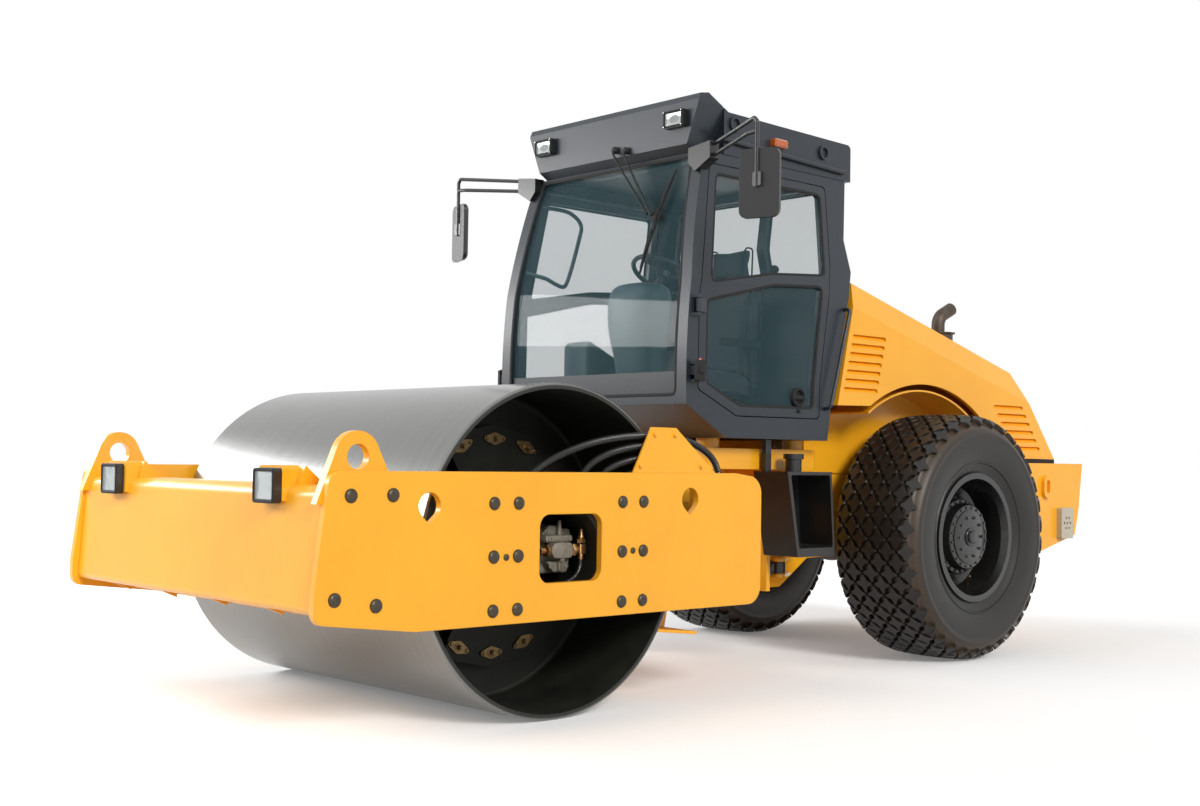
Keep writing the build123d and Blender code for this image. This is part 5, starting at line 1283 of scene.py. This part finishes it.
def build_consoles():
    """The rounded steering cowl on its column, and the side console with its lever."""
    low = CAB_FLOOR
    levels = [(0.0, 0.092, 0.146, 1.745), (0.03, 0.094, 0.149, 1.746), (0.25, 0.098, 0.152, 1.768),
              (0.42, 0.106, 0.162, 1.785), (0.52, 0.118, 0.182, 1.795), (0.60, 0.128, 0.194, 1.797),
              (0.70, 0.136, 0.199, 1.793), (0.77, 0.134, 0.194, 1.789), (0.815, 0.120, 0.176, 1.786),
              (0.838, 0.096, 0.146, 1.785), (0.848, 0.060, 0.100, 1.785)]
    turns = np.arange(48) * 2 * math.pi / 48
    round_x, round_y = (np.sign(wave) * np.abs(wave) ** 0.72 for wave in (np.cos(turns), np.sin(turns)))
    cowl = Shape()
    cowl.put(capped([lifted(np.column_stack([x + AXLE_X + a * round_x, b * round_y]), low + lift)
                     for lift, a, b, x in levels]))
    box = rounded_outline([(1.150, low), (1.850, low), (1.850, low + 0.500), (1.820, low + 0.538),
                           (1.620, low + 0.448), (1.150, low + 0.428)], 0.030, 4)
    cowl.put(across(box, 0.198, 0.012, -0.589))
    piece = cowl.build("console_cowl", "tractor", "console_plastic", angle=50.0)
    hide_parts("consoles")
    dark = Shape()
    down = np.array((0.5, 0.0, -0.86))
    down /= np.linalg.norm(down)
    hub = np.array((AXLE_X + 1.600, 0.0, 2.270))
    form = lathe([(0.022, 0.0), (0.022, 0.05), (0.034, 0.06), (0.040, 0.16), (0.0, 0.16)], 28)
    dark.put(form, basis(hub + down * 0.02, down))
    dark.put(tube([(AXLE_X + LEVER_X, LEVER_Y, low + 0.40), (AXLE_X + LEVER_X, LEVER_Y, low + 0.56),
                   (AXLE_X + LEVER_X - LEVER_LEAN, LEVER_Y, low + 0.60)], [0.009, 0.009, 0.012], 14))
    form = lathe([(0.014, 0.0), (0.022, 0.012), (0.024, 0.03), (0.018, 0.05), (0.0, 0.056)], 24)
    dark.put(form, basis((AXLE_X + LEVER_X - LEVER_LEAN, LEVER_Y, low + 0.595), (-0.3, 0, 1), (0, 1, 0)))
    form = lathe([(0.034, 0.0), (0.030, 0.012), (0.024, 0.016), (0.028, 0.026), (0.020, 0.030),
                  (0.022, 0.040), (0.010, 0.046), (0.0, 0.046)], 24)
    dark.put(form, basis((AXLE_X + LEVER_X, LEVER_Y, low + 0.434), (0, 0, 1), (0, 1, 0)))
    dark.build("column_and_lever", "tractor", "dash_plastic", "black_rubber")


build_consoles()


# ---- Camera, light and floor


def build_world():
    """A soft grey-white light all round, seen as plain white."""
    world = bpy.data.worlds.new("studio")
    world.use_nodes = True
    bpy.context.scene.world = world
    n = Tree(world.node_tree)
    light = n.add("ShaderNodeBackground", {"Color": (0.97, 0.985, 1.0, 1.0), "Strength": 0.42})
    white = n.add("ShaderNodeBackground", {"Color": (1.0, 1.0, 1.0, 1.0), "Strength": 1.0})
    both = n.add("ShaderNodeMixShader", {0: n.seen_directly(), 1: light.outputs[0], 2: white.outputs[0]})
    n.add("ShaderNodeOutputWorld", {0: both.outputs[0]})


def build_floor():
    """A plain pale floor."""
    floor_mesh = bpy.data.meshes.new("floor")
    reach = 60.0
    floor_mesh.from_pydata(lifted(rectangle(2 * reach, 2 * reach), 0.0).tolist(), [], [(0, 1, 2, 3)])
    floor = bpy.data.objects.new("floor", floor_mesh)
    bpy.context.scene.collection.objects.link(floor)
    n = Nodes("floor")
    n.tree.nodes.remove(n.shader)
    diffuse = n.add("ShaderNodeBsdfDiffuse")
    seen = n.seen_directly()
    n.feed(diffuse.inputs["Color"], n.mix(seen, (0.62, 0.61, 0.60, 1), (1, 1, 1, 1)))
    glow = n.add("ShaderNodeEmission", {"Strength": n.math("MULTIPLY", seen, 0.16)})
    both = n.add("ShaderNodeAddShader", {0: diffuse.outputs[0], 1: glow.outputs[0]})
    n.feed(n.out.inputs[0], both.outputs[0])
    floor_mesh.materials.append(n.mat)
    floor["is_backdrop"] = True


def build_lights():
    """Two broad suns, and the panel whose reflection runs along the drum."""

    def lamp(name, kind, toward, place=(0, 0, 0)):
        data = bpy.data.lights.new(name, kind)
        obj = bpy.data.objects.new(name, data)
        obj.location = place
        obj.rotation_euler = Vector(toward).to_track_quat("Z", "Y").to_euler()
        bpy.context.scene.collection.objects.link(obj)
        return data

    key = lamp("key", "SUN", (0.22, 0.90, 0.52))
    key.energy, key.angle, key.color = 2.0, math.radians(18.0), (1.0, 0.985, 0.96)
    high = lamp("high", "SUN", (0.75, -0.30, 0.62))
    high.energy, high.angle = 0.8, math.radians(30.0)
    place = Vector((5.4, -6.4, 3.5))
    panel = lamp("drum_panel", "AREA", place - Vector((DRUM_X, 0.0, DRUM_R)), place)
    panel.shape = "RECTANGLE"
    panel.size, panel.size_y = 8.0, 1.3
    panel.energy = 420.0


def build_camera():
    """The camera at the photograph's place, solved from the drum, the tyre and symmetric pairs."""
    azimuth, elevation, roll = math.radians(136.665), math.radians(-1.520), math.radians(0.858)
    place = Vector((6.154, 6.158, 1.185))
    back = Vector((math.sin(azimuth) * math.cos(elevation), -math.cos(azimuth) * math.cos(elevation),
                   math.sin(elevation)))
    x = Vector((0, 0, 1)).cross(back).normalized()
    y = back.cross(x)
    right = x * math.cos(roll) + y * math.sin(roll)
    up = y * math.cos(roll) - x * math.sin(roll)
    data = bpy.data.cameras.new("camera")
    data.sensor_width = 36.0
    data.lens = 44.29
    data.shift_x = -0.0217
    data.shift_y = 0.0143
    camera = bpy.data.objects.new("camera", data)
    camera.matrix_world = Matrix(((right.x, up.x, back.x, place.x), (right.y, up.y, back.y, place.y),
                                  (right.z, up.z, back.z, place.z), (0, 0, 0, 1)))
    bpy.context.scene.collection.objects.link(camera)
    bpy.context.scene.camera = camera


build_world()
build_floor()
build_lights()
build_camera()
bpy.context.scene.view_settings.view_transform = "Standard"


def plain(value):
    """A box as plain lists of numbers."""
    if hasattr(value, "__len__"):
        return [plain(v) for v in value]
    return float(value)


{"cad": plain(CAD_BOX), "visual": plain(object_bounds())}
